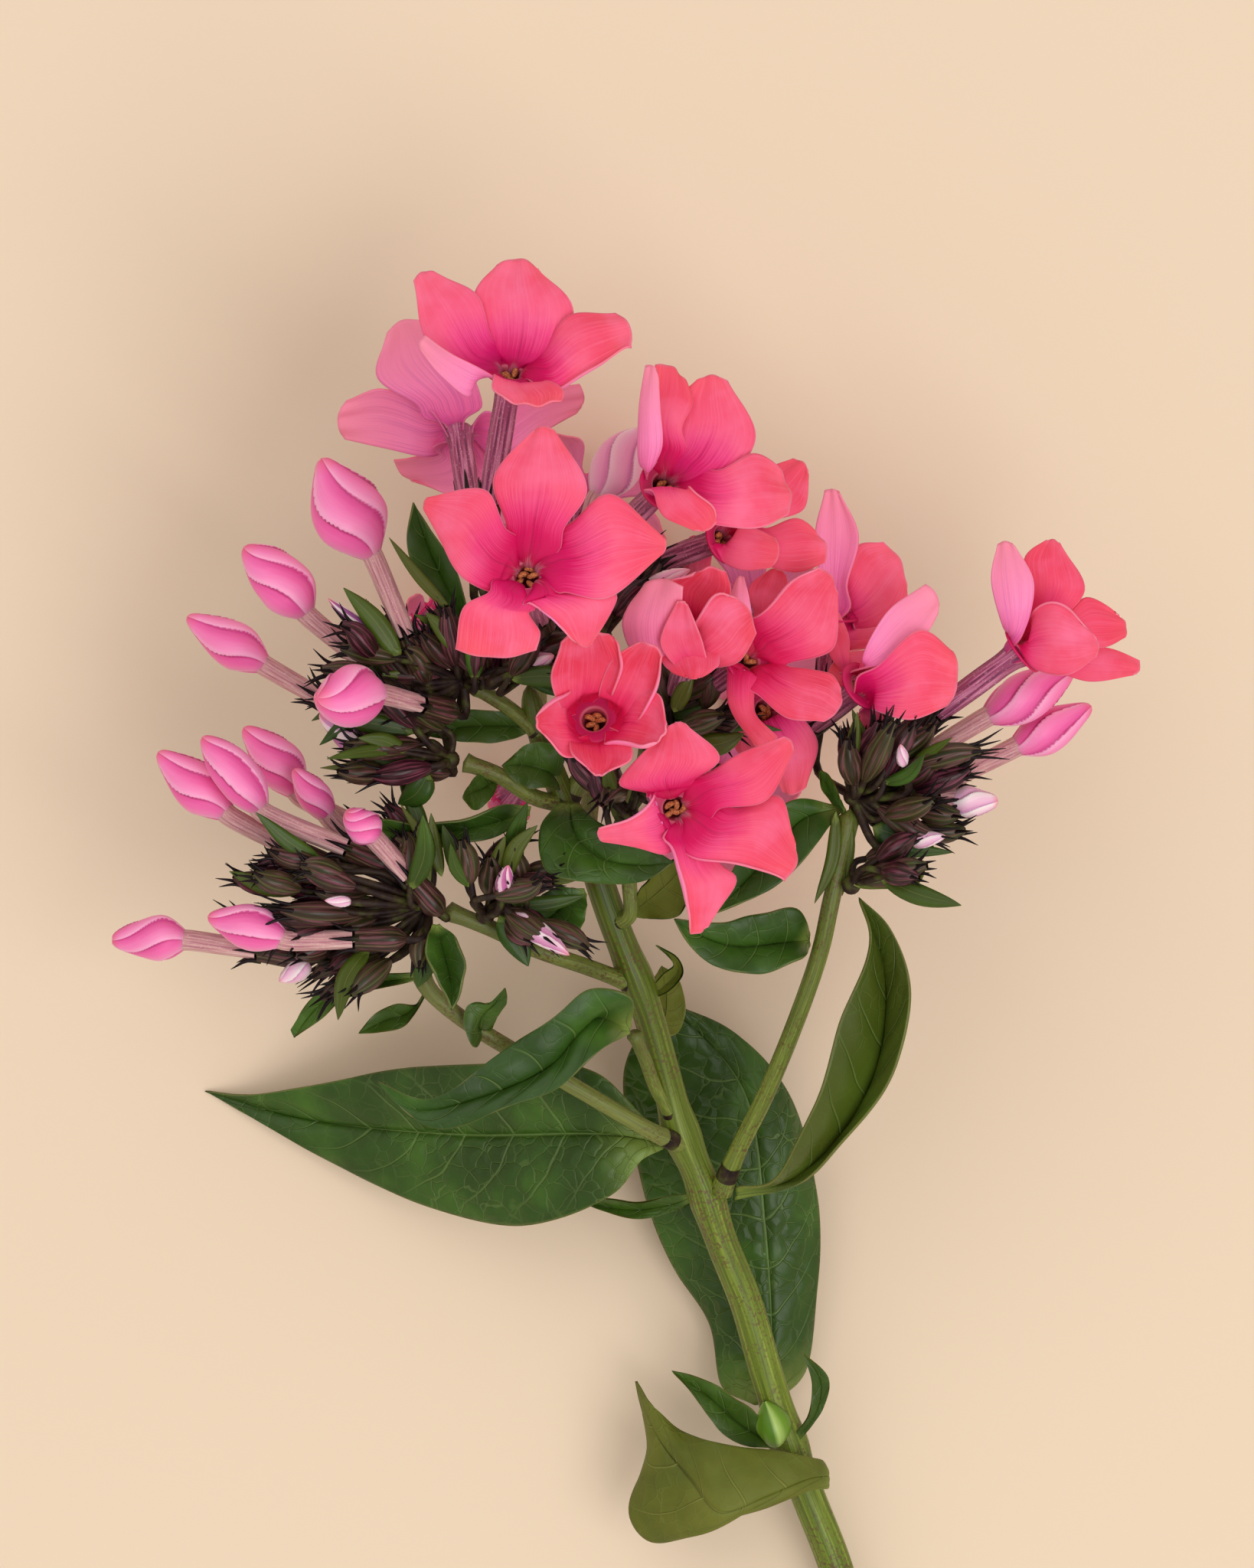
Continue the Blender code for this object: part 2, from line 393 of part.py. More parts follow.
# Small leaves that grow from the stem and stay in its node
STEM_LEAVES = [
    Leaf("shoot_left",
         [(1010, 1892, 12), (960, 1884, 14), (925, 1850, 14), (905, 1820, 14), (877, 1790, 13)],
         [(1012, 1888, 12), (965, 1860, 12.5), (930, 1828, 13), (877, 1790, 13)],
         [(1014, 1876, 12), (985, 1845, 15), (955, 1822, 15), (915, 1800, 14), (877, 1790, 13)]),
    Leaf("shoot_right",
         [(1032, 1880, 12), (1055, 1850, 14), (1061, 1810, 15), (1050, 1768, 16)],
         [(1036, 1885, 12), (1066, 1845, 13.5), (1072, 1805, 14.5), (1050, 1768, 16)],
         [(1040, 1888, 12), (1076, 1838, 14), (1082, 1800, 15), (1050, 1768, 16)]),
    Leaf("shoot_edge_on",
         [(908, 1566, 21), (880, 1582, 19), (830, 1592, 18), (785, 1580, 17), (755, 1568, 16)],
         [(908, 1562, 21), (870, 1575, 18.5), (820, 1580, 17), (755, 1568, 16)],
         [(908, 1558, 21), (880, 1562, 20), (830, 1570, 19), (780, 1565, 18), (755, 1568, 16)]),
    Leaf("shoot_hook",
         [(846, 1308, 31), (875, 1292, 33), (892, 1272, 34), (885, 1252, 35), (856, 1234, 36)],
         [(848, 1304, 31), (872, 1284, 32), (886, 1268, 33), (880, 1252, 34.5), (856, 1234, 36)],
         [(846, 1298, 31), (866, 1272, 33), (880, 1262, 34), (874, 1250, 35), (856, 1234, 36)]),
    Leaf("shoot_lobed",
         [(632, 1350, 37), (618, 1368, 40), (606, 1330, 41), (612, 1312, 41), (636, 1312, 41),
          (660, 1290, 43)],
         [(636, 1348, 37), (624, 1340, 39), (630, 1326, 40), (645, 1312, 41), (660, 1290, 43)],
         [(640, 1350, 37), (646, 1336, 39), (650, 1326, 40), (662, 1308, 42), (660, 1290, 43)]),
    Leaf("shoot_small_left",
         [(560, 1292, 39.5), (530, 1338, 39), (505, 1347, 39), (468, 1350, 39)],
         [(560, 1288, 39.5), (535, 1322, 38), (505, 1332, 38), (468, 1350, 39)],
         [(558, 1284, 39.5), (545, 1312, 39), (515, 1312, 39), (490, 1325, 39), (468, 1350, 39)]),
    Leaf("shoot_curl_left",
         [(546, 1280, 41), (500, 1290, 40), (455, 1300, 38), (420, 1330, 36), (384, 1355, 34)],
         [(548, 1276, 41), (500, 1282, 39), (450, 1288, 37), (412, 1318, 35), (384, 1355, 34)],
         [(548, 1270, 41), (505, 1272, 40), (455, 1272, 38), (405, 1306, 36), (380, 1345, 34)]),
    Leaf("shoot_lobed_high",
         [(652, 1020, 42), (640, 1045, 44), (620, 1058, 45), (604, 1042, 46)],
         [(650, 1014, 42), (635, 1028, 43), (620, 1034, 44), (604, 1042, 46)],
         [(646, 1008, 42), (625, 1012, 44), (612, 1026, 45), (604, 1042, 46)]),
    Leaf("shoot_dark_high",
         [(696, 955, 41), (660, 968, 41.5), (620, 970, 41.5), (560, 962, 41)],
         [(696, 950, 41), (650, 948, 40.5), (600, 950, 40.5), (560, 962, 41)],
         [(698, 944, 41), (655, 930, 41.5), (600, 930, 41.5), (560, 962, 41)]),
    Leaf("shoot_dark_middle",
         [(735, 1035, 39), (720, 1030, 43), (680, 1026, 44), (655, 1000, 45)],
         [(732, 1026, 39), (715, 1008, 42), (690, 1000, 43), (655, 1000, 45)],
         [(728, 1015, 40), (735, 985, 43), (700, 968, 44), (655, 1000, 45)]),
    Leaf("shoot_right_node",
         [(1104, 1068, 44.2), (1088, 1050, 46), (1074, 1030, 46), (1070, 1006, 45.5)],
         [(1104, 1062, 44), (1088, 1042, 45), (1078, 1022, 45), (1070, 1006, 45.5)],
         [(1104, 1058, 43.8), (1092, 1030, 46), (1082, 1012, 46), (1070, 1006, 45.5)]),
    Leaf("shoot_under_star",
         [(826, 1198, 37), (850, 1200, 39), (885, 1196, 41), (905, 1160, 43), (902, 1115, 44)],
         [(826, 1192, 37), (855, 1170, 39), (882, 1145, 41), (902, 1115, 44)],
         [(824, 1184, 37), (838, 1160, 40), (865, 1130, 42), (902, 1115, 44)]),
]
# Flowers whose calyx is in plain view, with its awns spread
SHOWN_CALYCES = (
    "bud_top_left", "bud_left_high", "bud_left_middle", "bud_end_on", "bud_left_outer", "bud_left_inner",
    "bud_low_outer", "bud_low_inner", "bud_right_high", "bud_right_low", "bloom_far_right",
)
AXIL_BUD = ((1012, 1884, 12), (1010, 1862, 14), (999, 1830, 15))


def place(x, y, height):
    """The true point, in metres, of what the eye sees at pixel (x, y) at that height."""
    step = PIXEL * (EYE_HEIGHT - height) / (EYE_HEIGHT - STEM_HEIGHT)
    right = (x - VIEW_X) * step + (VIEW_X - ORIGIN_X) * PIXEL
    up = (VIEW_Y - y) * step + (ORIGIN_Y - VIEW_Y) * PIXEL
    return np.array([right, up, height]) * MM


def places(spots, over=0.0):
    return [place(x, y, height + over) for x, y, height in spots]


def unit(vector):
    return vector / np.linalg.norm(vector)


def square_to(vector, direction):
    """The part of vector at right angles to direction, as a unit vector."""
    return unit(vector - np.dot(vector, direction) * direction)


def across_of(axis):
    """Two directions at right angles to axis and to each other."""
    guide = UP if abs(axis[2]) < 0.9 else np.array([1.0, 0.0, 0.0])
    side = square_to(guide, axis)
    return side, np.cross(axis, side)


def smooth_line(points, count):
    """count + 1 points, evenly spaced along a centripetal Catmull-Rom curve through the given ones."""
    points = np.array(points)
    held = np.vstack([2 * points[0] - points[1], points, 2 * points[-1] - points[-2]])
    fine = []
    for i in range(len(points) - 1):
        p = held[i : i + 4]
        knots = np.concatenate([[0], np.cumsum(np.sqrt(np.linalg.norm(np.diff(p, axis=0), axis=1)))])
        for t in np.linspace(knots[1], knots[2], 12, endpoint=False):
            level = p
            for depth in (1, 2, 3):
                if depth < 3:
                    spans = [(knots[k], knots[k + depth]) for k in range(4 - depth)]
                else:
                    spans = [(knots[1], knots[2])]
                level = [a + (b - a) * (t - low) / (high - low)
                         for a, b, (low, high) in zip(level, level[1:], spans)]
            fine.append(level[0])
    fine = np.array(fine + [points[-1]])
    run = np.concatenate([[0], np.cumsum(np.linalg.norm(np.diff(fine, axis=0), axis=1))])
    wanted = np.linspace(0, run[-1], count + 1)
    return np.stack([np.interp(wanted, run, fine[:, k]) for k in range(3)], axis=1)


def blade_grid(left, middle, right, across, bow=0.0, tip_round=0.0):
    """Rows of across + 1 points from the left edge by the middle to the right edge of a petal or leaf."""
    along = len(left) - 1
    rows = []
    normal = UP
    for i in range(along + 1):
        u = i / along
        width = right[i] - left[i]
        if np.linalg.norm(width) > 0.5 * MM:
            forward = middle[min(i + 1, along)] - middle[max(i - 1, 0)]
            normal = unit(np.cross(width, forward))
            ahead = unit(np.cross(normal, width))
        lift = bow * MM * sin(pi * min(1.0, 0.15 + 0.85 * u)) * (u > 0)
        reach = tip_round * np.linalg.norm(width) * u**4
        row = []
        for j in range(across + 1):
            v = 2 * j / across - 1
            edge = left[i] if v < 0 else right[i]
            point = middle[i] + abs(v) * (edge - middle[i])
            row.append(point + (1 - v * v) * (lift * normal + reach * ahead))
        rows.append(row)
    return np.array(rows)


def petal_grid(foot, throat, left, right, bow, along, across):
    """A petal that grows from the throat of a tube and spreads between its two edges."""
    axis = unit(throat - foot)
    outwards = square_to(0.5 * (left[0] + right[0]) - throat, axis)
    side = np.cross(outwards, axis)
    root = throat - axis * 1.2 * MM + outwards * 0.4 * MM
    neck = throat + axis * 0.2 * MM + outwards * MOUTH_RADIUS * MM
    left_edge = smooth_line([root - side * 0.5 * MM, neck - side * 0.9 * MM, *left], along)
    right_edge = smooth_line([root + side * 0.5 * MM, neck + side * 0.9 * MM, *right], along)
    return blade_grid(left_edge, 0.5 * (left_edge + right_edge), right_edge, across, bow, 0.22)


def leaf_grid(leaf, along, across):
    edges = [smooth_line(places(side), along) for side in (leaf.left, leaf.middle, leaf.right)]
    return blade_grid(*edges, across)


def material(kind):
    made = bpy.data.materials.get(kind)
    if made is None:
        made = bpy.data.materials.new(kind)
        made.use_nodes = True
        shader = made.node_tree.nodes["Principled BSDF"]
        shader.inputs["Base Color"].default_value = (*COLOURS[kind], 1)
        shader.inputs["Roughness"].default_value = 0.55
        shader.inputs["Metallic"].default_value = 0.0
    return made


def add_object(name, data):
    made = bpy.data.objects.new(name, data)
    bpy.context.scene.collection.objects.link(made)
    return made


def object_from(name, frame):
    mesh = bpy.data.meshes.new(name)
    frame.to_mesh(mesh)
    frame.free()
    return add_object(name, mesh)


def as_mesh(source, weld=0.00001):
    """The object with its modifiers applied and points nearer than weld joined."""
    bpy.context.view_layer.update()
    graph = bpy.context.evaluated_depsgraph_get()
    mesh = bpy.data.meshes.new_from_object(source.evaluated_get(graph))
    frame = bmesh.new()
    frame.from_mesh(mesh)
    bmesh.ops.remove_doubles(frame, verts=frame.verts, dist=weld)
    bmesh.ops.triangulate(frame, faces=frame.faces)
    frame.to_mesh(mesh)
    frame.free()
    name = source.name
    bpy.data.objects.remove(source)
    return add_object(name, mesh)


def blade(name, points):
    """A thin solid with the grid of points as its middle, no lower than the table."""
    points = points.copy()
    points[:, :, 2] = np.maximum(points[:, :, 2], 0.5 * BLADE_THICKNESS * MM)
    along, across = points.shape[0] - 1, points.shape[1] - 1
    frame = bmesh.new()
    bmesh.ops.create_grid(frame, x_segments=across, y_segments=along, size=1.0)
    for vertex in frame.verts:
        j = round((vertex.co.x + 1) * 0.5 * across)
        i = round((vertex.co.y + 1) * 0.5 * along)
        vertex.co = Vector(points[i, j])
    bmesh.ops.remove_doubles(frame, verts=frame.verts, dist=0.00001)
    bmesh.ops.triangulate(frame, faces=frame.faces)
    made = object_from(name, frame)
    shell = made.modifiers.new("Thickness", "SOLIDIFY")
    shell.thickness = BLADE_THICKNESS * MM
    shell.offset = 0.0
    return as_mesh(made)


def turned(name, sides, rings):
    """A closed form round the rings, each a list of sides points, between its first and last points."""
    frame = bmesh.new()
    last = len(rings) - 1
    bmesh.ops.create_uvsphere(frame, u_segments=sides, v_segments=last, radius=1.0)
    for vertex in frame.verts:
        k = last - round(np.arccos(max(-1.0, min(1.0, vertex.co.z))) / pi * last)
        turn = int(np.arctan2(vertex.co.y, vertex.co.x) / (2 * pi) * sides + sides + 0.25) % sides
        vertex.co = Vector(rings[k][0 if k in (0, last) else turn])
    if frame.calc_volume(signed=True) < 0:
        bmesh.ops.reverse_faces(frame, faces=frame.faces)
    bmesh.ops.triangulate(frame, faces=frame.faces)
    return object_from(name, frame)


def ball(name, centre, radius):
    """A small sphere where the stalks of a cyme meet."""
    frame = bmesh.new()
    bmesh.ops.create_uvsphere(frame, u_segments=6, v_segments=3, radius=radius * MM)
    bmesh.ops.translate(frame, verts=frame.verts, vec=Vector(centre))
    bmesh.ops.triangulate(frame, faces=frame.faces)
    return object_from(name, frame)


def ring(centre, axis, sides, radius, raise_odd=0.0, odd_radius=None, twist=0.0):
    """Points round an axis. Every second one may stand further out, or further along by raise_odd."""
    side, other = across_of(axis)
    points = []
    for k in range(sides):
        angle = 2 * pi * (k / sides + twist)
        reach = odd_radius if k % 2 and odd_radius is not None else radius
        rise = raise_odd if k % 2 else 0.0
        points.append(centre + (reach * (cos(angle) * side + sin(angle) * other) + rise * axis) * MM)
    return points


def rod(name, points, radii, sides=6):
    """A round stalk through the points, with a radius in millimetres at each."""
    spine = bpy.data.curves.new(name, "CURVE")
    spine.dimensions = "3D"
    spine.bevel_depth = MM
    spine.bevel_resolution = max(0, sides // 2 - 2)
    spine.use_fill_caps = True
    line = spine.splines.new("POLY")
    line.points.add(len(points) - 1)
    for target, point, radius in zip(line.points, points, radii):
        target.co = (*point, 1)
        target.radius = radius
    return as_mesh(add_object(name, spine))


def fused(name, kind, pieces):
    """One solid named name, joined from pieces that grow into each other."""
    first, others = pieces[0], pieces[1:]
    if others:
        joined = bpy.data.collections.new(name + "_joined")
        bpy.context.scene.collection.children.link(joined)
        for piece in others:
            bpy.context.scene.collection.objects.unlink(piece)
            joined.objects.link(piece)
        union = first.modifiers.new("Union", "BOOLEAN")
        union.operation = "UNION"
        union.operand_type = "COLLECTION"
        union.collection = joined
        # EXACT leaves seams open where petals cross at a shallow angle
        union.solver = "MANIFOLD"
    made = as_mesh(first, weld=UNION_WELD)
    for piece in others:
        bpy.data.objects.remove(piece)
    if others:
        bpy.data.collections.remove(joined)
    made.name = name
    made.data.name = name
    made.data.materials.clear()
    made.data.materials.append(material(kind))
    made.data.shade_smooth()
    made.data.set_sharp_from_angle(angle=radians(40))
    for vertex in made.data.vertices:
        vertex.co.z = max(vertex.co.z, 0.0)
    return made


def tube(foot, throat):
    axis = unit(throat - foot)
    line = [foot + axis * SEAT_GAP * MM, foot + 0.72 * (throat - foot), throat]
    return rod("tube", line, [TUBE_RADIUS, TUBE_RADIUS * 1.05, MOUTH_RADIUS])


def make_bloom(bloom):
    foot, throat = place(*bloom.foot), place(*bloom.throat)
    over = bloom.throat[2]
    pieces = [tube(foot, throat)]
    for petal in bloom.petals:
        left, right = places(petal.left, over), places(petal.right, over)
        pieces.append(blade("petal", petal_grid(foot, throat, left, right, petal.bow, bloom.rows, 2)))
    return fused(bloom.name, "petal", pieces)


def under_petal_edges(foot, throat, turn):
    """The two edges of one of five even petals that lie back against the table."""
    axis = unit(throat - foot)
    side, other = across_of(axis)
    forward = cos(turn) * side + sin(turn) * other
    across = np.cross(forward, axis)
    left, right = [], []
    for reach, half, lift in ((0.38, 0.22, 0.02), (0.72, 0.36, 0.0), (0.96, 0.24, -0.1)):
        centre = throat + (forward * reach + axis * lift) * UNDER_RADIUS * MM
        left.append(centre - across * half * UNDER_RADIUS * MM)
        right.append(centre + across * half * UNDER_RADIUS * MM)
    return left, right


def make_under_bloom(name, foot_spot, throat_spot, first_turn):
    foot, throat = place(*foot_spot), place(*throat_spot)
    pieces = [tube(foot, throat)]
    for k in range(5):
        left, right = under_petal_edges(foot, throat, radians(first_turn + 72 * k))
        pieces.append(blade("petal", petal_grid(foot, throat, left, right, 0.5, 2, 2)))
    return fused(name, "petal", pieces)


def bud_radius(share, widest):
    """Radius in millimetres along a bud's folded limb, from its neck at 0 to its tip at 1."""
    if share < 0.38:
        return TUBE_RADIUS + (widest - TUBE_RADIUS) * sin(0.5 * pi * share / 0.38)
    return 0.5 + (widest - 0.5) * cos(0.5 * pi * (share - 0.38) / 0.62) ** 0.85


def make_bud(bud):
    foot, neck, tip = place(*bud.foot), place(*bud.neck), place(*bud.tip)
    low, high = unit(neck - foot), unit(tip - neck)
    start = foot + low * SEAT_GAP * MM
    sides = 10
    rings = [
        [start] * sides,
        ring(start, low, sides, TUBE_RADIUS),
        ring(neck, unit(low + high), sides, TUBE_RADIUS * 1.1),
    ]
    for share in (0.3, 0.72):
        radius = bud_radius(share, bud.radius)
        centre = neck + share * (tip - neck)
        rings.append(ring(centre, high, sides, radius * 0.94, 0.0, radius * 1.08, bud.twist * 0.3 * share))
    rings.append([tip] * sides)
    return fused(bud.name, "bud", [turned(bud.name, sides, rings)])


def make_calyx(base, mouth):
    """A narrow bell with five awns round the mouth, from which the flower's tube stands."""
    axis = unit(mouth - base)
    sides = 10
    rings = [
        [base - axis * 0.8 * MM] * sides,
        ring(base + 0.5 * (mouth - base), axis, sides, CALYX_RADIUS),
        ring(mouth, axis, sides, CALYX_RADIUS, AWN_LENGTH, AWN_SPREAD),
        ring(mouth, axis, sides, CALYX_OPENING),
        [mouth - axis * 0.02 * MM] * sides,
    ]
    return turned("calyx", sides, rings)


def make_plain_calyx(base, mouth):
    """A calyx whose awns lie against the flower's tube, for flowers that face the eye or the table."""
    axis = unit(mouth - base)
    sides = 6
    rings = [
        [base - axis * 0.8 * MM] * sides,
        ring(base + 0.5 * (mouth - base), axis, sides, CALYX_RADIUS),
        ring(mouth + axis * 0.3 * MM, axis, sides, CALYX_RADIUS + 0.3),
        [mouth - axis * 0.4 * MM] * sides,
    ]
    return turned("calyx", sides, rings)


def make_young(young):
    base, mouth, tip = place(*young.base), place(*young.mouth), place(*young.tip)
    axis = unit(mouth - base)
    sides = 6
    rings = [
        [base - axis * 0.6 * MM] * sides,
        ring(base + 0.55 * (mouth - base), axis, sides, YOUNG_RADIUS),
        ring(mouth + 0.25 * (tip - mouth), unit(tip - base), sides, YOUNG_RADIUS * 0.8),
        [tip] * sides,
    ]
    return turned("young", sides, rings)


def stalk(start, end, end_direction, radius):
    """A pedicel that leaves the hub at start and swings into end along its direction."""
    bend = end - end_direction * 0.45 * np.linalg.norm(end - start)
    line = smooth_line([start + unit(bend - start) * 0.6 * MM, bend, end], 2)
    return rod("stalk", line, [radius] * len(line), 4)


def flower_feet():
    """Where each bloom and bud stands: name to the foot of its tube and the way the tube points."""
    feet = {}
    for name, foot, ahead in (
        [(bloom.name, bloom.foot, bloom.throat) for bloom in BLOOMS]
        + [(bud.name, bud.foot, bud.neck) for bud in BUDS]
        + [(name, foot, throat) for name, foot, throat, _ in UNDER_BLOOMS]
    ):
        feet[name] = place(*foot), unit(place(*ahead) - place(*foot))
    return feet


def make_cyme(cyme, feet):
    hub = place(*cyme.hub)
    pieces = [ball("hub", hub, HUB_RADIUS)]
    for name in cyme.flowers:
        mouth, axis = feet[name]
        base = mouth - axis * CALYX_LENGTH * MM
        pieces.append(make_calyx(base, mouth) if name in SHOWN_CALYCES else make_plain_calyx(base, mouth))
        pieces.append(stalk(hub, base + axis * 0.3 * MM, axis, PEDICEL_RADIUS))
    for young in cyme.young:
        base, mouth = place(*young.base), place(*young.mouth)
        axis = unit(mouth - base)
        pieces.append(make_young(young))
        pieces.append(stalk(hub, base + axis * 0.3 * MM, axis, PEDICEL_RADIUS * 0.9))
    return fused(cyme.name, "calyx", pieces)


def make_leaf(leaf):
    return fused(leaf.name, "leaf", [blade(leaf.name, leaf_grid(leaf, len(leaf.left) - 1, 4))])


def make_stem():
    line = smooth_line(places(STEM), 18)
    radii = np.interp(np.linspace(0, 1, len(line)), np.linspace(0, 1, len(STEM_RADII)), STEM_RADII)
    pieces = [rod("stem", line, radii, 8)]
    for spots, radius in BRANCHES.values():
        line = smooth_line(places(spots), max(2, len(spots) - 1))
        pieces.append(rod("branch", line, [radius] * len(line)))
    for leaf in STEM_LEAVES:
        pieces.append(blade(leaf.name, leaf_grid(leaf, 3, 2)))
    low, middle, tip = (place(*spot) for spot in AXIL_BUD)
    axis = unit(tip - low)
    pieces.append(turned("axil_bud", 6, [[low] * 6, ring(middle, axis, 6, AXIL_BUD_RADIUS), [tip] * 6]))
    return fused("stem", "stem", pieces)


def main():
    for old in list(bpy.data.objects):
        bpy.data.objects.remove(old)
    feet = flower_feet()
    parts = [make_stem()]
    parts += [make_leaf(leaf) for leaf in LEAVES]
    parts += [make_cyme(cyme, feet) for cyme in CYMES]
    parts += [make_bud(bud) for bud in BUDS]
    parts += [make_bloom(bloom) for bloom in BLOOMS]
    parts += [make_under_bloom(*under) for under in UNDER_BLOOMS]
    home = bpy.data.collections.new("phlox")
    bpy.context.scene.collection.children.link(home)
    for part in parts:
        bpy.context.scene.collection.objects.unlink(part)
        home.objects.link(part)


main()
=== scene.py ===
"""Garden phlox: the living look of a cut flowering stem that lies on its back.

It is laid out as an add-on and runs as a script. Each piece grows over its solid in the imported
model, in metres, +Z up, with the table at Z = 0. The lists set the plant out as an eye straight
above it sees it: a spot is (x, y, height), where x and y count pixels right and down in a view 1638
wide and 2048 high, and height is in millimetres over the table.
"""

from collections import namedtuple
from functools import partial
from math import cos, pi, radians, sin

import bmesh
import bpy
import numpy as np
from bpy.props import FloatProperty, FloatVectorProperty, PointerProperty
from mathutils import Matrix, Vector


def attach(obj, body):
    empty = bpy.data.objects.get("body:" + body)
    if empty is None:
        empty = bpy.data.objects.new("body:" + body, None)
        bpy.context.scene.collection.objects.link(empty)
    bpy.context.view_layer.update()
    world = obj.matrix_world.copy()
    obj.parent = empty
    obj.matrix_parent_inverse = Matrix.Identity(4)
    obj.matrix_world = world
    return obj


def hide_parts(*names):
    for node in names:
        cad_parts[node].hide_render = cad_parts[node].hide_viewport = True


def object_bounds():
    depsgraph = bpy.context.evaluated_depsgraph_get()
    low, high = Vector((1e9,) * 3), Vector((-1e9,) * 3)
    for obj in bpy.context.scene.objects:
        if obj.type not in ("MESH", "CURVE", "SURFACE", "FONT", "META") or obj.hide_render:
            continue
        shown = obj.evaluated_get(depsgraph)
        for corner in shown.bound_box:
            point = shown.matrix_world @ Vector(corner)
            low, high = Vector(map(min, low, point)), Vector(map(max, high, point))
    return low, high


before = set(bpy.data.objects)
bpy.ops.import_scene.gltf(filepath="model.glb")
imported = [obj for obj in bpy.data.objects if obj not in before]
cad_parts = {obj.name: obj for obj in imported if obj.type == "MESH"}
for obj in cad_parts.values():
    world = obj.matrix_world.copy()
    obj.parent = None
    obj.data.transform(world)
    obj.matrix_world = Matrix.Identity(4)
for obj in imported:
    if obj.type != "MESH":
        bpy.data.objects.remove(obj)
CAD_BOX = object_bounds()

bl_info = {
    "name": "Garden Phlox",
    "version": (1, 0, 0),
    "blender": (4, 5, 0),
    "location": "View3D > Sidebar > Phlox",
    "description": "Grows the petals, buds, calyces, leaves and stem of a cut garden phlox",
    "category": "Add Mesh",
}

MM = 0.001
UP = np.array([0.0, 0.0, 1.0])

# The view that the spots are counted in, and the pixel that the origin lies under
PIXEL = 0.095
EYE_HEIGHT = 1200.0
STEM_HEIGHT = 40.0
VIEW_X, VIEW_Y = 819.0, 1024.0
ORIGIN_X, ORIGIN_Y = 816.0, 1291.6
VIEW_ROWS = 2048

# Sizes in millimetres that the solids share
TUBE_RADIUS = 0.95
TUBE_SWELL = 1.35
MOUTH_RADIUS = 1.5
CALYX_LENGTH = 6.0
CALYX_RADIUS = 1.6
PEDICEL_RADIUS = 0.6
SEAT_GAP = 0.35
UNDER_RADIUS = 12.5
TIP_REACH = 1.0

# Sizes in millimetres of the finer forms: where a petal starts in the tube and comes over its rim
ROOT_DEPTH, ROOT_HALF = 1.4, 0.8
NECK_OUT, NECK_HALF = 0.4, 1.35
PETAL_OVERLAP = 0.1
RIM_WIDTH = 0.3
ANTHER_RADIUS = 0.23
BUD_TIP_RADIUS = 0.5
CALYX_FOOT = 0.8
AWN_RADIUS, YOUNG_AWN_RADIUS, AWN_TIP_RADIUS = 0.36, 0.32, 0.035
AWN_LENGTHS = (3.0, 4.3)
YOUNG_LENGTH, YOUNG_TIPS, YOUNG_RADIUS = 4.8, (3.0, 4.6), 1.5
BRACT_LENGTHS = (7, 12)
HUB_RADIUS = 1.2
AXIL_BUD_RADIUS = 2.2
STEM_LEAF_HALF = 0.12
# Shares: how round a petal's tip is, where a bud is widest along it, how deep its seams are, and
# how far awns lean out for their length
PETAL_TIP_ROUND = 0.22
BUD_WIDEST = 0.38
SEAM_DEPTH = 0.13
AWN_SPREAD, HIDDEN_AWN_SPREAD = 0.45, 0.1
CALYX_TONE = 0.2

# How much the pieces keep inside the solids' box, and over the table, in millimetres
EDGE_ROOM = 0.15
LEAST_HEIGHT = 0.2
# The radius in millimetres of a form's closed end
POINT = 0.01

# How finely forms are cut: points between two spots of a curve, rows along and columns across a
# blade, and sides of a round form
CURVE_STEPS = 12
PETAL_CUTS, UNDER_PETAL_CUTS = (34, 24), (16, 14)
LARGE_LEAF_CUTS, LEAF_CUTS, STEM_LEAF_CUTS = (90, 48), (50, 28), (36, 20)
BUD_ROWS, BUD_SIDES, SMALL_BUD_SIDES = 61, 80, 30
TUBE_SIDES, BUD_TUBE_SIDES, CALYX_SIDES, YOUNG_SIDES = 30, 24, 30, 25
STEM_SIDES, BRANCH_SIDES, STALK_SIDES, HUB_SIDES, AXIL_BUD_SIDES = 32, 20, 10, 16, 24
# Where each kind of piece starts its random draws
SEEDS = {"bloom": 100, "under bloom": 200, "bud": 300, "cyme": 400, "leaf": 500, "stem leaf": 620}

# Node settings: a mix of two colours, and a range that eases at both ends
COLOURS = {"out": 2, "data_type": "RGBA"}
SMOOTH = {"interpolation_type": "SMOOTHSTEP"}

# The stage in metres: half the table's width, each light's spot, size and share of the power, and
# the spot that both aim at. The camera's sensor is in millimetres
TABLE_HALF = 1.6
LIGHTS = (("window", (1.0, -0.7, 2.3), 1.6, 0.43), ("reflector", (-0.9, 0.9, 2.3), 2.2, 0.2))
LIGHT_AIM = (0, 0, 0.04)
SENSOR = 36.0

# A petal's two edges go from its shoulders to its tip, left and right as its face is seen with the
# tip up. Their heights are over the throat. The middle bows towards the face by bow millimetres.
Petal = namedtuple("Petal", "left right bow", defaults=(0.8,))
Bloom = namedtuple("Bloom", "name foot throat petals")
Bud = namedtuple("Bud", "name foot neck tip radius twist", defaults=(0.9,))
# A young calyx is shut round its bud: base, where it closes, and the bud's tip.
Young = namedtuple("Young", "base mouth tip")
# A leaf's edges and midrib go from its base to its tip.
Leaf = namedtuple("Leaf", "name left middle right")
# A cyme is a cluster of flowers: its hub, the blooms and buds that it carries, its young calyces.
Cyme = namedtuple("Cyme", "name hub flowers young")
# Where a point lies on its form: its spot on the UV map and its two halves, its tone and its count
Chart = namedtuple("Chart", "spot x y tone count")

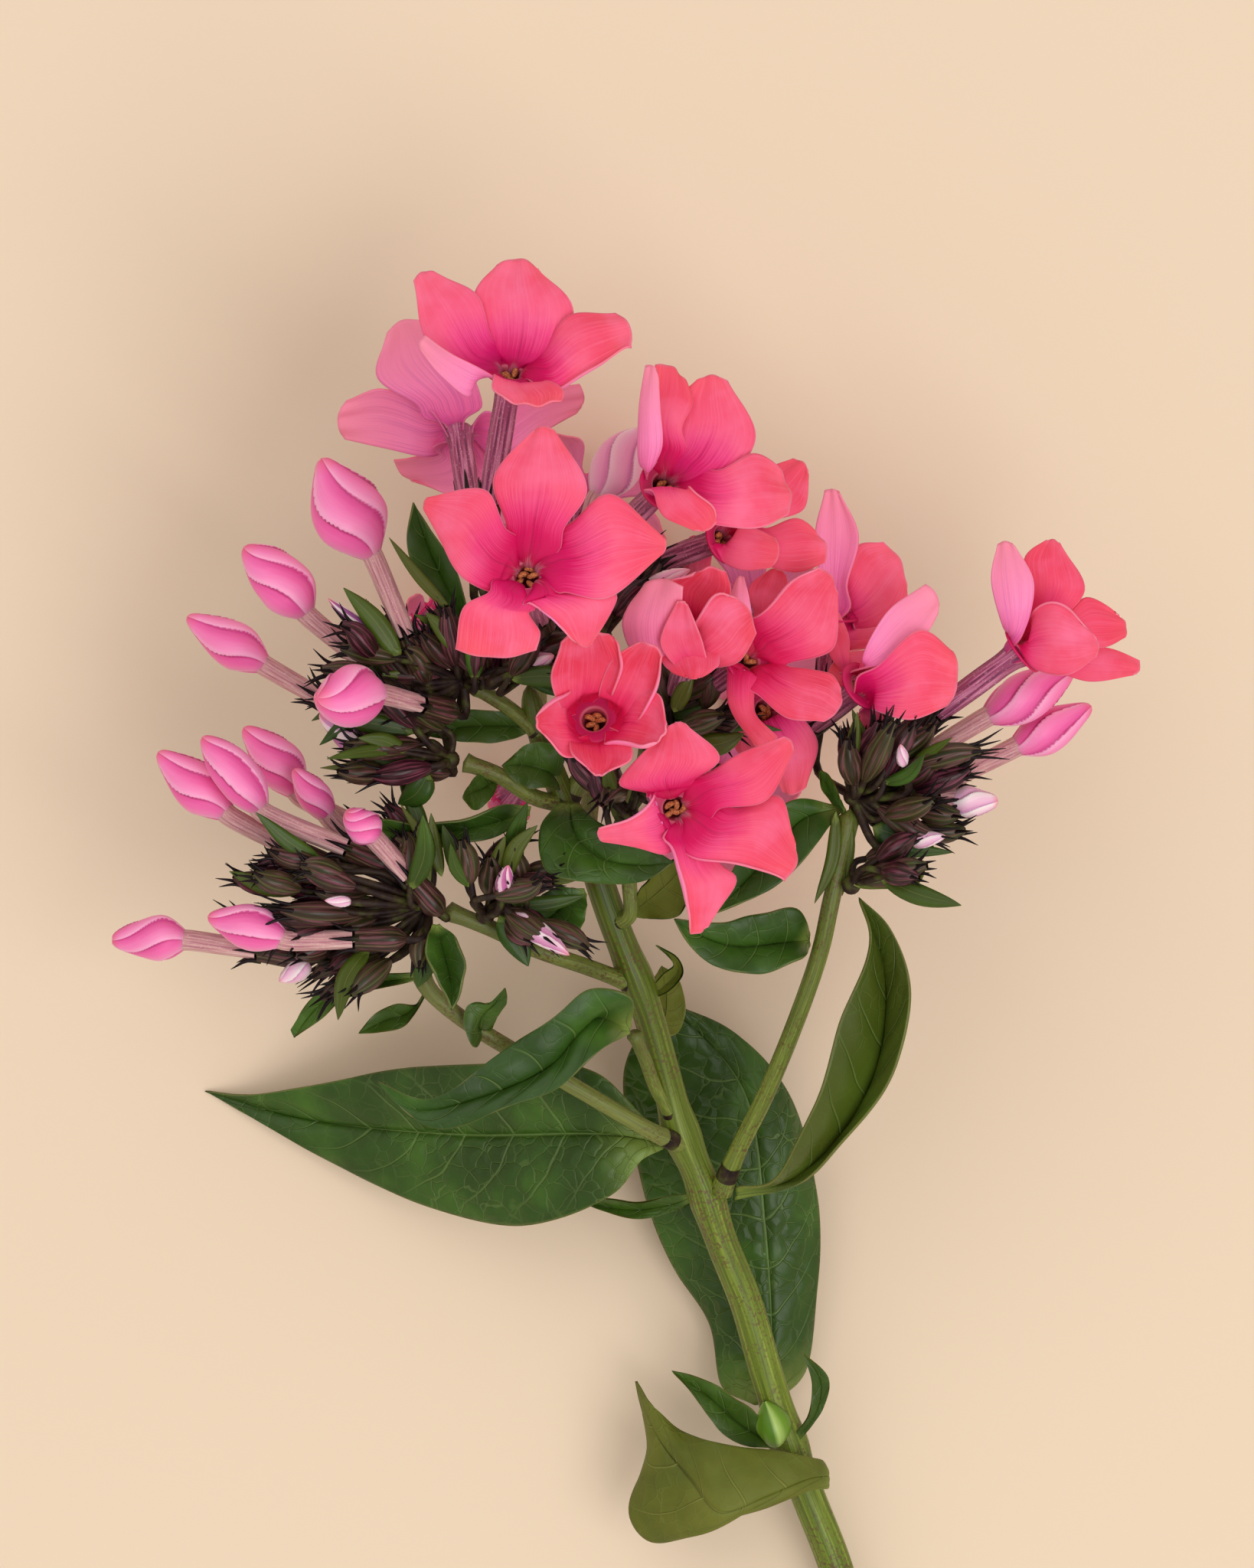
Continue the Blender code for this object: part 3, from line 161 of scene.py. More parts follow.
STEM = [
    (1130, 2190, 1.95), (1092, 2048, 6), (1058, 1960, 8), (1035, 1900, 10), (1003, 1800, 13),
    (974, 1700, 16), (942, 1620, 19), (915, 1540, 22), (890, 1480, 24), (868, 1400, 27),
    (842, 1310, 31), (800, 1200, 35), (768, 1110, 37), (735, 1040, 39), (702, 950, 41),
    (690, 893, 42.7),
]
STEM_RADII = (2.1, 2.1, 2.0, 1.9, 1.8, 1.3)
BRANCHES = {
    "right": ([(938, 1565, 22), (965, 1500, 27), (1000, 1430, 32), (1045, 1320, 38),
               (1072, 1240, 41), (1085, 1180, 43), (1105, 1090, 44), (1111, 1056, 44.2)], 1.05),
    "left_low": ([(895, 1495, 24), (860, 1482, 28), (760, 1425, 33), (680, 1378, 36),
                  (600, 1328, 38), (560, 1292, 40), (548, 1268, 41)], 1.0),
    "left_middle": ([(838, 1290, 31.5), (770, 1264, 36), (700, 1240, 39), (640, 1212, 41),
                     (580, 1188, 42.0)], 1.0),
    "left_high": ([(738, 1050, 39), (700, 1042, 41), (650, 1012, 43), (605, 995, 43.5)], 1.0),
    "left_top": ([(705, 960, 41), (665, 925, 42.5), (622, 898, 43.5)], 0.9),
    "front": ([(800, 1205, 35), (822, 1195, 37), (822, 1150, 39), (822, 1075, 41.7)], 1.0),
    "upper_right": ([(740, 1050, 38.5), (775, 980, 40), (804, 885, 41.6)], 1.1),
    "centre": ([(785, 1150, 36), (820, 1060, 35), (849, 979, 36.1)], 1.1),
    "under": ([(765, 1100, 37), (775, 1020, 30), (790, 955, 25)], 1.1),
    "under_top": ([(705, 960, 41), (705, 890, 34), (712, 836, 29.6)], 0.9),
    "petiole": ([(880, 1462, 25.5), (856, 1420, 29), (843, 1385, 31.5), (828, 1350, 35.5)], 0.8),
}

BLOOMS = [
    Bloom("bloom_star", (704, 806, 58), (688, 752, 76), [
        Petal([(662, 685, -0.4), (644, 626, 0), (695, 564, 0)],
              [(736, 692, 0.8), (767, 640, 1.2), (724, 562, 0.4)]),
        Petal([(748, 682, -0.6), (795, 645, -0.2), (868, 704, -1)],
              [(738, 774, 0.8), (792, 782, 0.8), (864, 724, -0.6)]),
        Petal([(752, 774, -0.6), (806, 776, -0.4), (772, 842, -1)],
              [(684, 785, 0.8), (722, 818, 0.8), (756, 841, -0.4)]),
        Petal([(690, 800, -0.6), (706, 826, -0.4), (700, 849, -0.6)],
              [(640, 772, 0.6), (606, 792, 0.6), (595, 848, 0)]),
        Petal([(648, 776, -0.6), (602, 752, -0.4), (556, 668, -1.2)],
              [(660, 690, 0.8), (635, 640, 0.9), (558, 650, -0.8)]),
    ]),
    Bloom("bloom_top", (640, 655, 54), (667, 487, 64), [
        Petal([(630, 440, -2), (619, 385, -3), (650, 346, -4)],
              [(728, 466, -1), (749, 405, -2), (703, 350, -4)]),
        Petal([(602, 492, 0), (556, 445, -1), (541, 366, -2)],
              [(642, 440, -1), (622, 385, -2), (566, 356, -3)]),
        Petal([(712, 455, -1), (745, 412, -1), (804, 408, -1)],
              [(728, 516, 1.5), (774, 490, 2), (823, 455, 1)]),
        Petal([(628, 482, 4), (590, 462, 5), (556, 438, 4)],
              [(612, 518, 3), (575, 490, 4), (548, 456, 3.5)], 0.3),
        Petal([(716, 498, 3.5), (736, 510, 5.5), (733, 522, 6.5)],
              [(645, 490, 3.5), (643, 506, 5.5), (660, 522, 6.5)], -0.6),
    ]),
    Bloom("bloom_top_back", (612, 652, 46), (600, 564, 38), [
        Petal([(555, 532, 0), (497, 508, 0), (452, 524, -1)],
              [(560, 597, -1.5), (500, 585, -2), (450, 574, -2)]),
        Petal([(628, 520, 2), (602, 460, 2), (552, 420, 3)],
              [(545, 530, 1), (492, 492, 1.5), (506, 436, 2)]),
        Petal([(664, 600, -1), (708, 566, -1), (752, 540, 0)],
              [(650, 540, 1), (702, 512, 1), (757, 502, 1)]),
        Petal([(570, 592, -2), (540, 597, -3), (515, 600, -4)],
              [(612, 640, -4), (588, 646, -5), (545, 628, -5)]),
        Petal([(628, 640, -4), (648, 680, -6), (676, 690, -7)],
              [(650, 600, -3), (684, 620, -5), (700, 652, -7)]),
    ]),
    Bloom("bloom_funnel", (808, 694, 48), (868, 634, 62), [
        Petal([(868, 585, 3), (866, 530, 4), (858, 484, 3)],
              [(838, 610, 2), (834, 550, 3), (844, 478, 2)], -1.0),
        Petal([(852, 580, -1), (850, 520, -1.5), (856, 476, -2)],
              [(890, 560, -1), (905, 525, -2), (894, 500, -3)]),
        Petal([(872, 580, -2), (882, 525, -3.5), (908, 500, -4)],
              [(962, 615, -1), (987, 570, -3), (950, 498, -4)]),
        Petal([(940, 615, 0), (985, 592, -1.5), (1016, 614, -3)],
              [(925, 684, 2), (990, 690, 1), (1030, 672, -1)]),
        Petal([(905, 642, 4.5), (932, 662, 6), (936, 682, 6.5)],
              [(852, 642, 4.5), (866, 674, 6), (908, 692, 6.5)]),
    ]),
    Bloom("bloom_mid_back", (868, 732, 44), (944, 704, 50), [
        Petal([(965, 690, 1.5), (990, 692, 2), (1012, 702, 2)],
              [(940, 730, 1.5), (970, 745, 2), (1006, 742, 2)]),
        Petal([(965, 650, -2), (1005, 612, -3), (1036, 599, -4)],
              [(1000, 684, -1), (1050, 665, -2), (1056, 622, -3)]),
        Petal([(1000, 690, -1), (1040, 678, -1.5), (1062, 694, -2)],
              [(985, 735, 0), (1040, 748, 0), (1078, 735, -1)]),
        Petal([(930, 724, -3), (930, 760, -6), (950, 786, -8)],
              [(905, 700, -4), (890, 735, -7), (900, 780, -10)]),
        Petal([(910, 690, -3), (890, 650, -6), (900, 610, -8)],
              [(945, 670, -3), (945, 630, -6), (935, 605, -8)]),
    ]),
    Bloom("bloom_side", (916, 905, 45), (976, 862, 54), [
        Petal([(992, 800, 0.5), (1025, 762, 0.5), (1068, 741, 0)],
              [(1030, 866, -1), (1088, 848, -1), (1091, 778, -1)]),
        Petal([(1030, 872, -0.5), (1086, 880, 0), (1098, 900, 0)],
              [(990, 908, 2), (1028, 938, 3), (1076, 942, 2)]),
        Petal([(981, 820, 2.5), (979, 785, 3), (972, 754, 2)],
              [(956, 842, 2), (952, 790, 2.5), (962, 756, 1.5)], -0.6),
        Petal([(985, 805, -3), (978, 770, -4), (1000, 747, -5)],
              [(1015, 800, -3), (1032, 775, -4), (1026, 751, -5)]),
        Petal([(988, 885, 1.5), (986, 930, 1.5), (1016, 962, 0)],
              [(950, 872, 1.5), (952, 920, 2), (986, 974, 0.5)]),
    ]),
    Bloom("bloom_side_low", (948, 950, 37), (1000, 930, 45), [
        Petal([(1040, 930, 1), (1068, 970, 1.5), (1052, 1028, 1)],
              [(985, 955, 1), (1000, 990, 1), (1022, 1034, 0)]),
        Petal([(1006, 900, -3), (1025, 880, -6), (1040, 882, -9)],
              [(1025, 925, -2), (1040, 920, -5), (1046, 905, -8)]),
        Petal([(985, 955, -3), (996, 975, -4), (996, 992, -5)],
              [(965, 945, -4), (958, 970, -5), (970, 992, -5.5)]),
        Petal([(980, 925, -5), (965, 900, -9), (975, 870, -12)],
              [(1005, 905, -4), (1005, 880, -9), (1000, 860, -12)]),
        Petal([(1024, 940, -5), (1030, 958, -9), (1028, 980, -12)],
              [(1008, 952, -6), (1010, 975, -10), (1014, 990, -12)]),
    ]),
    Bloom("bloom_half_open", (884, 902, 46), (906, 845, 57), [
        Petal([(888, 862, 2.5), (889, 812, 6), (893, 766, 9)],
              [(828, 850, 2), (813, 815, 4), (838, 766, 6)], -1.5),
        Petal([(880, 805, 0.5), (862, 766, 2), (905, 752, 3)],
              [(930, 805, 1), (955, 775, 2), (948, 747, 3)], -0.6),
        Petal([(912, 812, 4), (930, 772, 7), (954, 778, 7)],
              [(930, 872, 3), (966, 864, 4.5), (985, 826, 4.5)], 1.2),
        Petal([(938, 850, 4), (938, 870, 6), (918, 882, 6)],
              [(862, 846, 3), (868, 870, 4.5), (894, 882, 5.5)], 0.6),
        Petal([(924, 862, 5), (914, 828, 7), (898, 790, 8.5)],
              [(884, 872, 4.5), (862, 840, 6.5), (884, 786, 8.5)], 0.6),
    ]),
    Bloom("bloom_cup", (792, 1000, 50), (776, 940, 62), [
        Petal([(733, 932, 3), (720, 884, 5.5), (733, 837, 7.5)],
              [(802, 905, 3), (822, 866, 5), (800, 831, 7)], -1.2),
        Petal([(782, 908, 2.5), (800, 860, 5), (832, 840, 6.5)],
              [(842, 942, 3), (866, 905, 5), (865, 856, 7)], -1.0),
        Petal([(826, 900, 2.5), (862, 908, 5), (871, 946, 7)],
              [(800, 980, 3.5), (834, 984, 6), (854, 970, 7)], -1.0),
        Petal([(822, 964, 3.5), (824, 990, 6), (792, 1009, 7)],
              [(744, 968, 3.5), (748, 988, 6), (774, 1010, 7)], -1.0),
        Petal([(768, 984, 3), (738, 988, 5), (706, 956, 7)],
              [(742, 900, 3), (722, 904, 5), (703, 934, 7)], -1.0),
    ]),
    Bloom("bloom_low_star", (858, 1040, 50), (882, 1056, 64), [
        Petal([(846, 1036, 0), (808, 1024, 1), (868, 957, 1.5)],
              [(905, 1020, 0.6), (940, 990, 1.6), (896, 945, 1.5)]),
        Petal([(918, 1012, 0), (972, 982, 0.6), (1024, 962, 1)],
              [(940, 1056, 1), (1000, 1046, 1.6), (1036, 980, 1)]),
        Petal([(962, 1056, -0.6), (1018, 1040, -0.6), (1037, 1100, -0.6)],
              [(905, 1122, 0.6), (960, 1132, 1), (1024, 1150, 0)]),
        Petal([(940, 1128, -1), (962, 1148, -1), (925, 1206, -1)],
              [(868, 1108, 0.6), (880, 1160, 1), (901, 1219, -0.4)], 0.4),
        Petal([(870, 1116, -0.4), (830, 1106, 0), (788, 1100, 0)],
              [(854, 1034, 0.8), (820, 1066, 1.2), (782, 1082, 0.4)], 0.4),
    ]),
    Bloom("bloom_right_back", (1078, 892, 39.6), (1087, 806, 41.5), [
        Petal([(1106, 765, 2.5), (1122, 700, 2.5), (1098, 646, 1)],
              [(1070, 765, 1.5), (1064, 700, 1.5), (1078, 641, 0)]),
        Petal([(1106, 755, 0), (1120, 712, -1), (1154, 708, -2)],
              [(1120, 830, 0), (1176, 818, -0.5), (1183, 772, -1.5)]),
        Petal([(1118, 822, 1.2), (1158, 818, 1.5), (1178, 824, 1.5)],
              [(1100, 848, 1), (1125, 847, 1.5), (1152, 841, 1.5)], 0.3),
        Petal([(1075, 800, -4), (1080, 760, -8), (1105, 735, -11)],
              [(1105, 790, -4), (1130, 760, -8), (1130, 735, -11)]),
        Petal([(1105, 825, -4), (1140, 820, -8), (1160, 800, -12)],
              [(1080, 835, -4), (1110, 850, -9), (1140, 845, -13)]),
    ]),
    Bloom("bloom_right_low", (1062, 946, 42), (1126, 897, 48), [
        Petal([(1164, 866, 2), (1204, 838, 3), (1223, 805, 2)],
              [(1126, 862, 1.5), (1158, 800, 2), (1209, 763, 1)], 0.3),
        Petal([(1140, 928, 3), (1190, 940, 4), (1238, 922, 2)],
              [(1146, 870, 3), (1202, 822, 4), (1246, 852, 2)]),
        Petal([(1150, 928, -1), (1162, 956, -2), (1140, 960, -3)],
              [(1122, 930, -1), (1112, 952, -2), (1118, 962, -3)], 0.3),
        Petal([(1116, 892, -1), (1098, 898, -2), (1083, 890, -3)],
              [(1134, 862, -1), (1136, 850, -2), (1106, 852, -3)], 0.3),
        Petal([(1102, 880, -2), (1084, 855, -3), (1082, 820, -4)],
              [(1112, 870, -2), (1109, 832, -3), (1096, 800, -4)], 0.3),
    ]),
    Bloom("bloom_far_right", (1222, 932, 42), (1334, 850, 46), [
        Petal([(1346, 800, 3), (1350, 758, 3.5), (1326, 714, 2)],
              [(1312, 822, 2), (1295, 760, 2.5), (1303, 711, 1)], -0.6),
        Petal([(1345, 790, -1), (1338, 730, -2), (1366, 707, -3)],
              [(1392, 805, -1), (1416, 770, -2), (1384, 710, -3)]),
        Petal([(1352, 800, 2), (1376, 784, 4), (1424, 826, 4.5)],
              [(1350, 872, 3), (1392, 882, 4.5), (1432, 858, 4.5)]),
        Petal([(1385, 815, -1), (1418, 780, -2), (1458, 802, -3)],
              [(1390, 842, -0.5), (1440, 846, -1.5), (1470, 832, -3)]),
        Petal([(1385, 850, -2), (1446, 846, -3), (1489, 863, -4)],
              [(1380, 878, -1), (1422, 890, -2), (1480, 882, -3)]),
    ]),
]

# The blooms that the head rests on: name, foot, throat and the first petal's turn in degrees
UNDER_BLOOMS = [
    ("bloom_under_left", (640, 850, 18), (560, 812, 4.6), 20),
    ("bloom_under_top", (748, 770, 18), (752, 660, 4.6), 50),
    ("bloom_under_right", (900, 860, 18), (985, 800, 4.6), 10),
    ("bloom_under_low", (860, 975, 18), (940, 1030, 4.6), 40),
    ("bloom_under_low_left", (735, 960, 18), (664, 1040, 4.6), 0),
]

BUDS = [
    Bud("bud_top_left", (532, 832, 47), (488, 728, 49), (420, 598, 51), 4.4),
    Bud("bud_left_high", (472, 862, 43), (402, 804, 44), (318, 714, 45), 3.5),
    Bud("bud_left_middle", (420, 912, 37), (350, 872, 36), (244, 805, 35), 3.0),
    Bud("bud_end_on", (550, 920, 49), (496, 906, 54), (414, 912, 63), 3.9),
    Bud("bud_striped", (524, 992, 42), (494, 984, 42), (418, 930, 43), 2.4),
    Bud("bud_left_outer", (388, 1112, 41), (300, 1066, 41), (206, 982, 40), 2.9),
    Bud("bud_left_inner", (455, 1108, 45), (342, 1060, 45), (264, 962, 45), 3.0),
    Bud("bud_left_behind", (465, 1078, 35), (392, 1040, 33), (318, 950, 33), 2.9),
    Bud("bud_left_hidden", (486, 1120, 38), (432, 1070, 38.5), (384, 1004, 39), 2.1),
    Bud("bud_withered", (535, 1146, 47), (490, 1096, 49), (452, 1060, 51), 2.4, 2.4),
    Bud("bud_low_outer", (338, 1241, 39), (246, 1228, 38), (145, 1228, 37), 2.7),
    Bud("bud_low_inner", (464, 1227, 46), (374, 1228, 46), (271, 1197, 46), 2.7),
    Bud("bud_pale_top", (762, 706, 43), (780, 650, 44), (848, 560, 44), 3.1),
    Bud("bud_right_high", (1207, 986, 41), (1286, 938, 38), (1402, 878, 37), 3.1),
    Bud("bud_right_low", (1243, 1018, 38), (1322, 978, 34.6), (1426, 922, 33.6), 2.7),
    Bud("bud_right_pale", (1226, 1046, 42), (1240, 1044, 42), (1304, 1046, 42), 1.9),
]

CYMES = [
    Cyme("cyme_top", (690, 880, 43.5), ("bloom_star", "bloom_top", "bloom_top_back"),
         [Young((660, 880, 47), (680, 872, 50), (720, 862, 54))]),
    Cyme("cyme_upper_right", (806, 870, 42), ("bud_pale_top", "bloom_funnel", "bloom_mid_back"),
         [Young((806, 800, 52), (830, 770, 55), (866, 742, 57))]),
    Cyme("cyme_centre", (855, 965, 36.5),
         ("bloom_side", "bloom_half_open", "bloom_side_low", "bloom_right_low"),
         [Young((880, 965, 46), (920, 950, 49), (966, 960, 50))]),
    Cyme("cyme_front", (822, 1062, 42.5), ("bloom_cup", "bloom_low_star"),
         [Young((815, 1030, 50), (795, 1036, 54), (776, 1068, 57))]),
    Cyme("cyme_right", (1114, 1040, 44.9),
         ("bloom_right_back", "bloom_far_right", "bud_right_high", "bud_right_low",
          "bud_right_pale"),
         [Young((1116, 1022, 49), (1108, 985, 52), (1106, 942, 54)),
          Young((1130, 1018, 50), (1158, 960, 55), (1180, 922, 57)),
          Young((1150, 1056, 46), (1200, 1088, 46), (1256, 1098, 46)),
          Young((1190, 1000, 47), (1250, 984, 48), (1320, 976, 48))]),
    Cyme("cyme_right_low", (1112, 1156, 44.8), (),
         [Young((1126, 1148, 46), (1170, 1138, 47), (1212, 1120, 48))]),
    Cyme("cyme_left_high", (606, 888, 44),
         ("bud_top_left", "bud_left_high", "bud_left_middle", "bud_end_on"),
         [Young((596, 866, 47), (586, 808, 50), (580, 772, 52)),
          Young((588, 868, 46), (560, 838, 48), (538, 812, 50)),
          Young((540, 862, 44), (506, 830, 44), (464, 788, 45))]),
    Cyme("cyme_left_middle", (588, 992, 43.5), ("bud_striped",),
         [Young((560, 1002, 46), (510, 1012, 47), (452, 1014, 48))]),
    Cyme("cyme_left_low", (560, 1182, 42.5),
         ("bud_left_outer", "bud_left_inner", "bud_left_behind", "bud_left_hidden", "bud_withered",
          "bud_low_outer", "bud_low_inner"),
         [Young((440, 1168, 44), (390, 1160, 45), (344, 1140, 46)),
          Young((470, 1194, 45), (400, 1192, 47), (325, 1184, 48)),
          Young((500, 1230, 39), (430, 1262, 38), (382, 1296, 37)),
          Young((556, 1215, 44), (548, 1250, 46), (545, 1282, 47))]),
    Cyme("cyme_left_small", (634, 1195, 43.3), (),
         [Young((656, 1172, 47), (664, 1152, 50), (662, 1132, 52)),
          Young((672, 1160, 46), (706, 1153, 48.6), (742, 1152, 50.2)),
          Young((664, 1192, 46), (700, 1216, 48), (744, 1244, 49))]),
    Cyme("cyme_under", (792, 940, 24.5),
         ("bloom_under_right", "bloom_under_low", "bloom_under_low_left"), []),
    Cyme("cyme_under_top", (712, 826, 28.5), ("bloom_under_left", "bloom_under_top"), []),
]

LEAVES = [
    Leaf("leaf_left_large",
         [(866, 1501, 25), (838, 1514, 26), (800, 1560, 25), (670, 1601, 18), (480, 1541, 7),
          (340, 1466, 2.5), (268, 1425, 0.3)],
         [(868, 1494, 24.5), (800, 1482, 25), (600, 1482, 15), (400, 1462, 4), (268, 1425, 0.3)],
         [(866, 1488, 24.5), (832, 1450, 25.5), (780, 1402, 27), (620, 1388, 20), (420, 1414, 8),
          (320, 1431, 3), (268, 1425, 0.3)]),
    Leaf("leaf_left_front",
         [(822, 1350, 36), (790, 1368, 42), (740, 1412, 43), (650, 1452, 42), (570, 1474, 41),
          (530, 1452, 40), (492, 1412, 39)],
         [(822, 1345, 36.5), (772, 1330, 40), (720, 1392, 41), (620, 1436, 41), (540, 1448, 40),
          (492, 1412, 39)],
         [(824, 1338, 37), (822, 1300, 43), (770, 1294, 44), (720, 1330, 43), (640, 1385, 42),
          (560, 1436, 41), (492, 1412, 39)]),
    Leaf("leaf_back_large",
         [(985, 1836, 9.1), (946, 1812, 6), (926, 1730, 6), (880, 1655, 6), (838, 1540, 8),
          (815, 1400, 12), (862, 1306, 17)],
         [(1000, 1835, 9.4), (1008, 1760, 9), (1000, 1600, 11), (975, 1430, 14), (915, 1350, 16),
          (862, 1306, 17)],
         [(1018, 1826, 9.1), (1054, 1790, 6), (1064, 1690, 6), (1067, 1560, 8), (1035, 1440, 11),
          (960, 1350, 15), (862, 1306, 17)]),
    Leaf("leaf_right_folded",
         [(962, 1550, 24), (1012, 1540, 30), (1060, 1450, 37), (1098, 1340, 39), (1136, 1225, 37),
          (1122, 1172, 35)],
         [(962, 1558, 22), (1040, 1535, 27), (1110, 1470, 31), (1150, 1380, 33), (1155, 1270, 34),
          (1122, 1172, 35)],
         [(960, 1566, 21), (1050, 1543, 29), (1105, 1488, 34), (1172, 1386, 38), (1191, 1300, 38),
          (1160, 1210, 36), (1122, 1172, 35)]),
    Leaf("leaf_under_cup",
         [(756, 1052, 41.2), (778, 1072, 46), (820, 1095, 48.5), (850, 1108, 49), (880, 1126, 49)],
         [(745, 1050, 41.1), (752, 1088, 45.5), (790, 1122, 47.5), (840, 1130, 48.5),
          (880, 1126, 49)],
         [(732, 1050, 41.2), (706, 1082, 46), (715, 1140, 48.5), (780, 1153, 48.5), (845, 1149, 49),
          (880, 1126, 49)]),
    Leaf("leaf_right_middle",
         [(1057, 1236, 39.5), (1048, 1252, 43), (1000, 1270, 44), (950, 1268, 45), (905, 1240, 46),
          (880, 1200, 46)],
         [(1057, 1228, 39.5), (1020, 1232, 41), (960, 1236, 43), (915, 1222, 45), (880, 1200, 46)],
         [(1057, 1218, 39.5), (1042, 1188, 43), (1000, 1191, 44), (950, 1204, 45), (905, 1203, 46),
          (880, 1200, 46)]),
    Leaf("leaf_right_back",
         [(1098, 1062, 43), (1070, 1096, 46), (1040, 1136, 47), (990, 1170, 48), (932, 1194, 49)],
         [(1094, 1056, 43), (1048, 1070, 44), (1010, 1112, 45), (970, 1155, 47), (932, 1194, 49)],
         [(1090, 1052, 43), (1036, 1044, 45), (985, 1085, 46.5), (955, 1140, 48), (932, 1194, 49)]),
    Leaf("leaf_left_slim",
         [(691, 1065, 42.8), (650, 1092, 45), (600, 1101, 46), (545, 1113, 46), (510, 1106, 46),
          (476, 1076, 45)],
         [(692, 1059, 42.8), (640, 1076, 44), (580, 1086, 44), (520, 1088, 45), (476, 1076, 45)],
         [(693, 1053, 42.8), (655, 1052, 45), (600, 1072, 46), (545, 1076, 46), (505, 1070, 46),
          (476, 1076, 45)]),
    Leaf("leaf_low_folded",
         [(1074, 1936, 9.6), (1079, 1944, 13.5), (1058, 1946, 16), (1000, 1970, 18),
          (945, 1984, 18), (885, 2012, 14), (845, 2012, 11), (826, 1980, 10), (846, 1890, 10),
          (831, 1804, 9)],
         [(1072, 1928, 9.6), (1081, 1928, 13.5), (1055, 1932, 16.5), (1000, 1956, 19),
          (942, 1976, 20), (903, 1932, 17), (862, 1880, 14), (831, 1804, 9)],
         [(1070, 1918, 9.6), (1075, 1908, 13.5), (1050, 1903, 16), (1000, 1893, 17),
          (940, 1886, 17), (885, 1866, 14), (850, 1832, 12), (831, 1804, 9)]),
    Leaf("leaf_beside_star",
         [(612, 874, 44.8), (598, 820, 47), (568, 778, 49), (545, 755, 50), (532, 705, 51),
          (540, 656, 52)],
         [(616, 874, 44.8), (606, 815, 46.5), (580, 760, 48), (560, 715, 49), (540, 656, 52)],
         [(620, 873, 44.8), (612, 810, 47), (600, 755, 49), (578, 715, 50), (552, 676, 51),
          (540, 656, 52)]),
    Leaf("leaf_left_hanging",
         [(575, 1208, 45.7), (596, 1226, 48), (607, 1262, 49), (600, 1300, 49), (590, 1320, 49)],
         [(570, 1208, 45.7), (578, 1240, 46), (588, 1280, 47), (590, 1320, 49)],
         [(565, 1208, 45.7), (556, 1232, 48), (562, 1262, 49), (580, 1295, 49), (590, 1320, 49)]),
    Leaf("leaf_behind_left",
         [(766, 1169, 37), (766, 1188, 38), (755, 1220, 39), (735, 1232, 39)],
         [(765, 1165, 37), (738, 1180, 37), (715, 1200, 38), (690, 1206, 39)],
         [(763, 1161, 37), (722, 1160, 38), (700, 1180, 39), (688, 1198, 39)]),
    Leaf("leaf_behind_stem",
         [(868, 1356, 26.6), (888, 1346, 24), (895, 1310, 23), (884, 1275, 22), (864, 1262, 21)],
         [(862, 1352, 26.6), (870, 1320, 24), (870, 1290, 23), (864, 1262, 21)],
         [(856, 1346, 26.6), (852, 1310, 24.5), (854, 1280, 23), (864, 1262, 21)]),
]

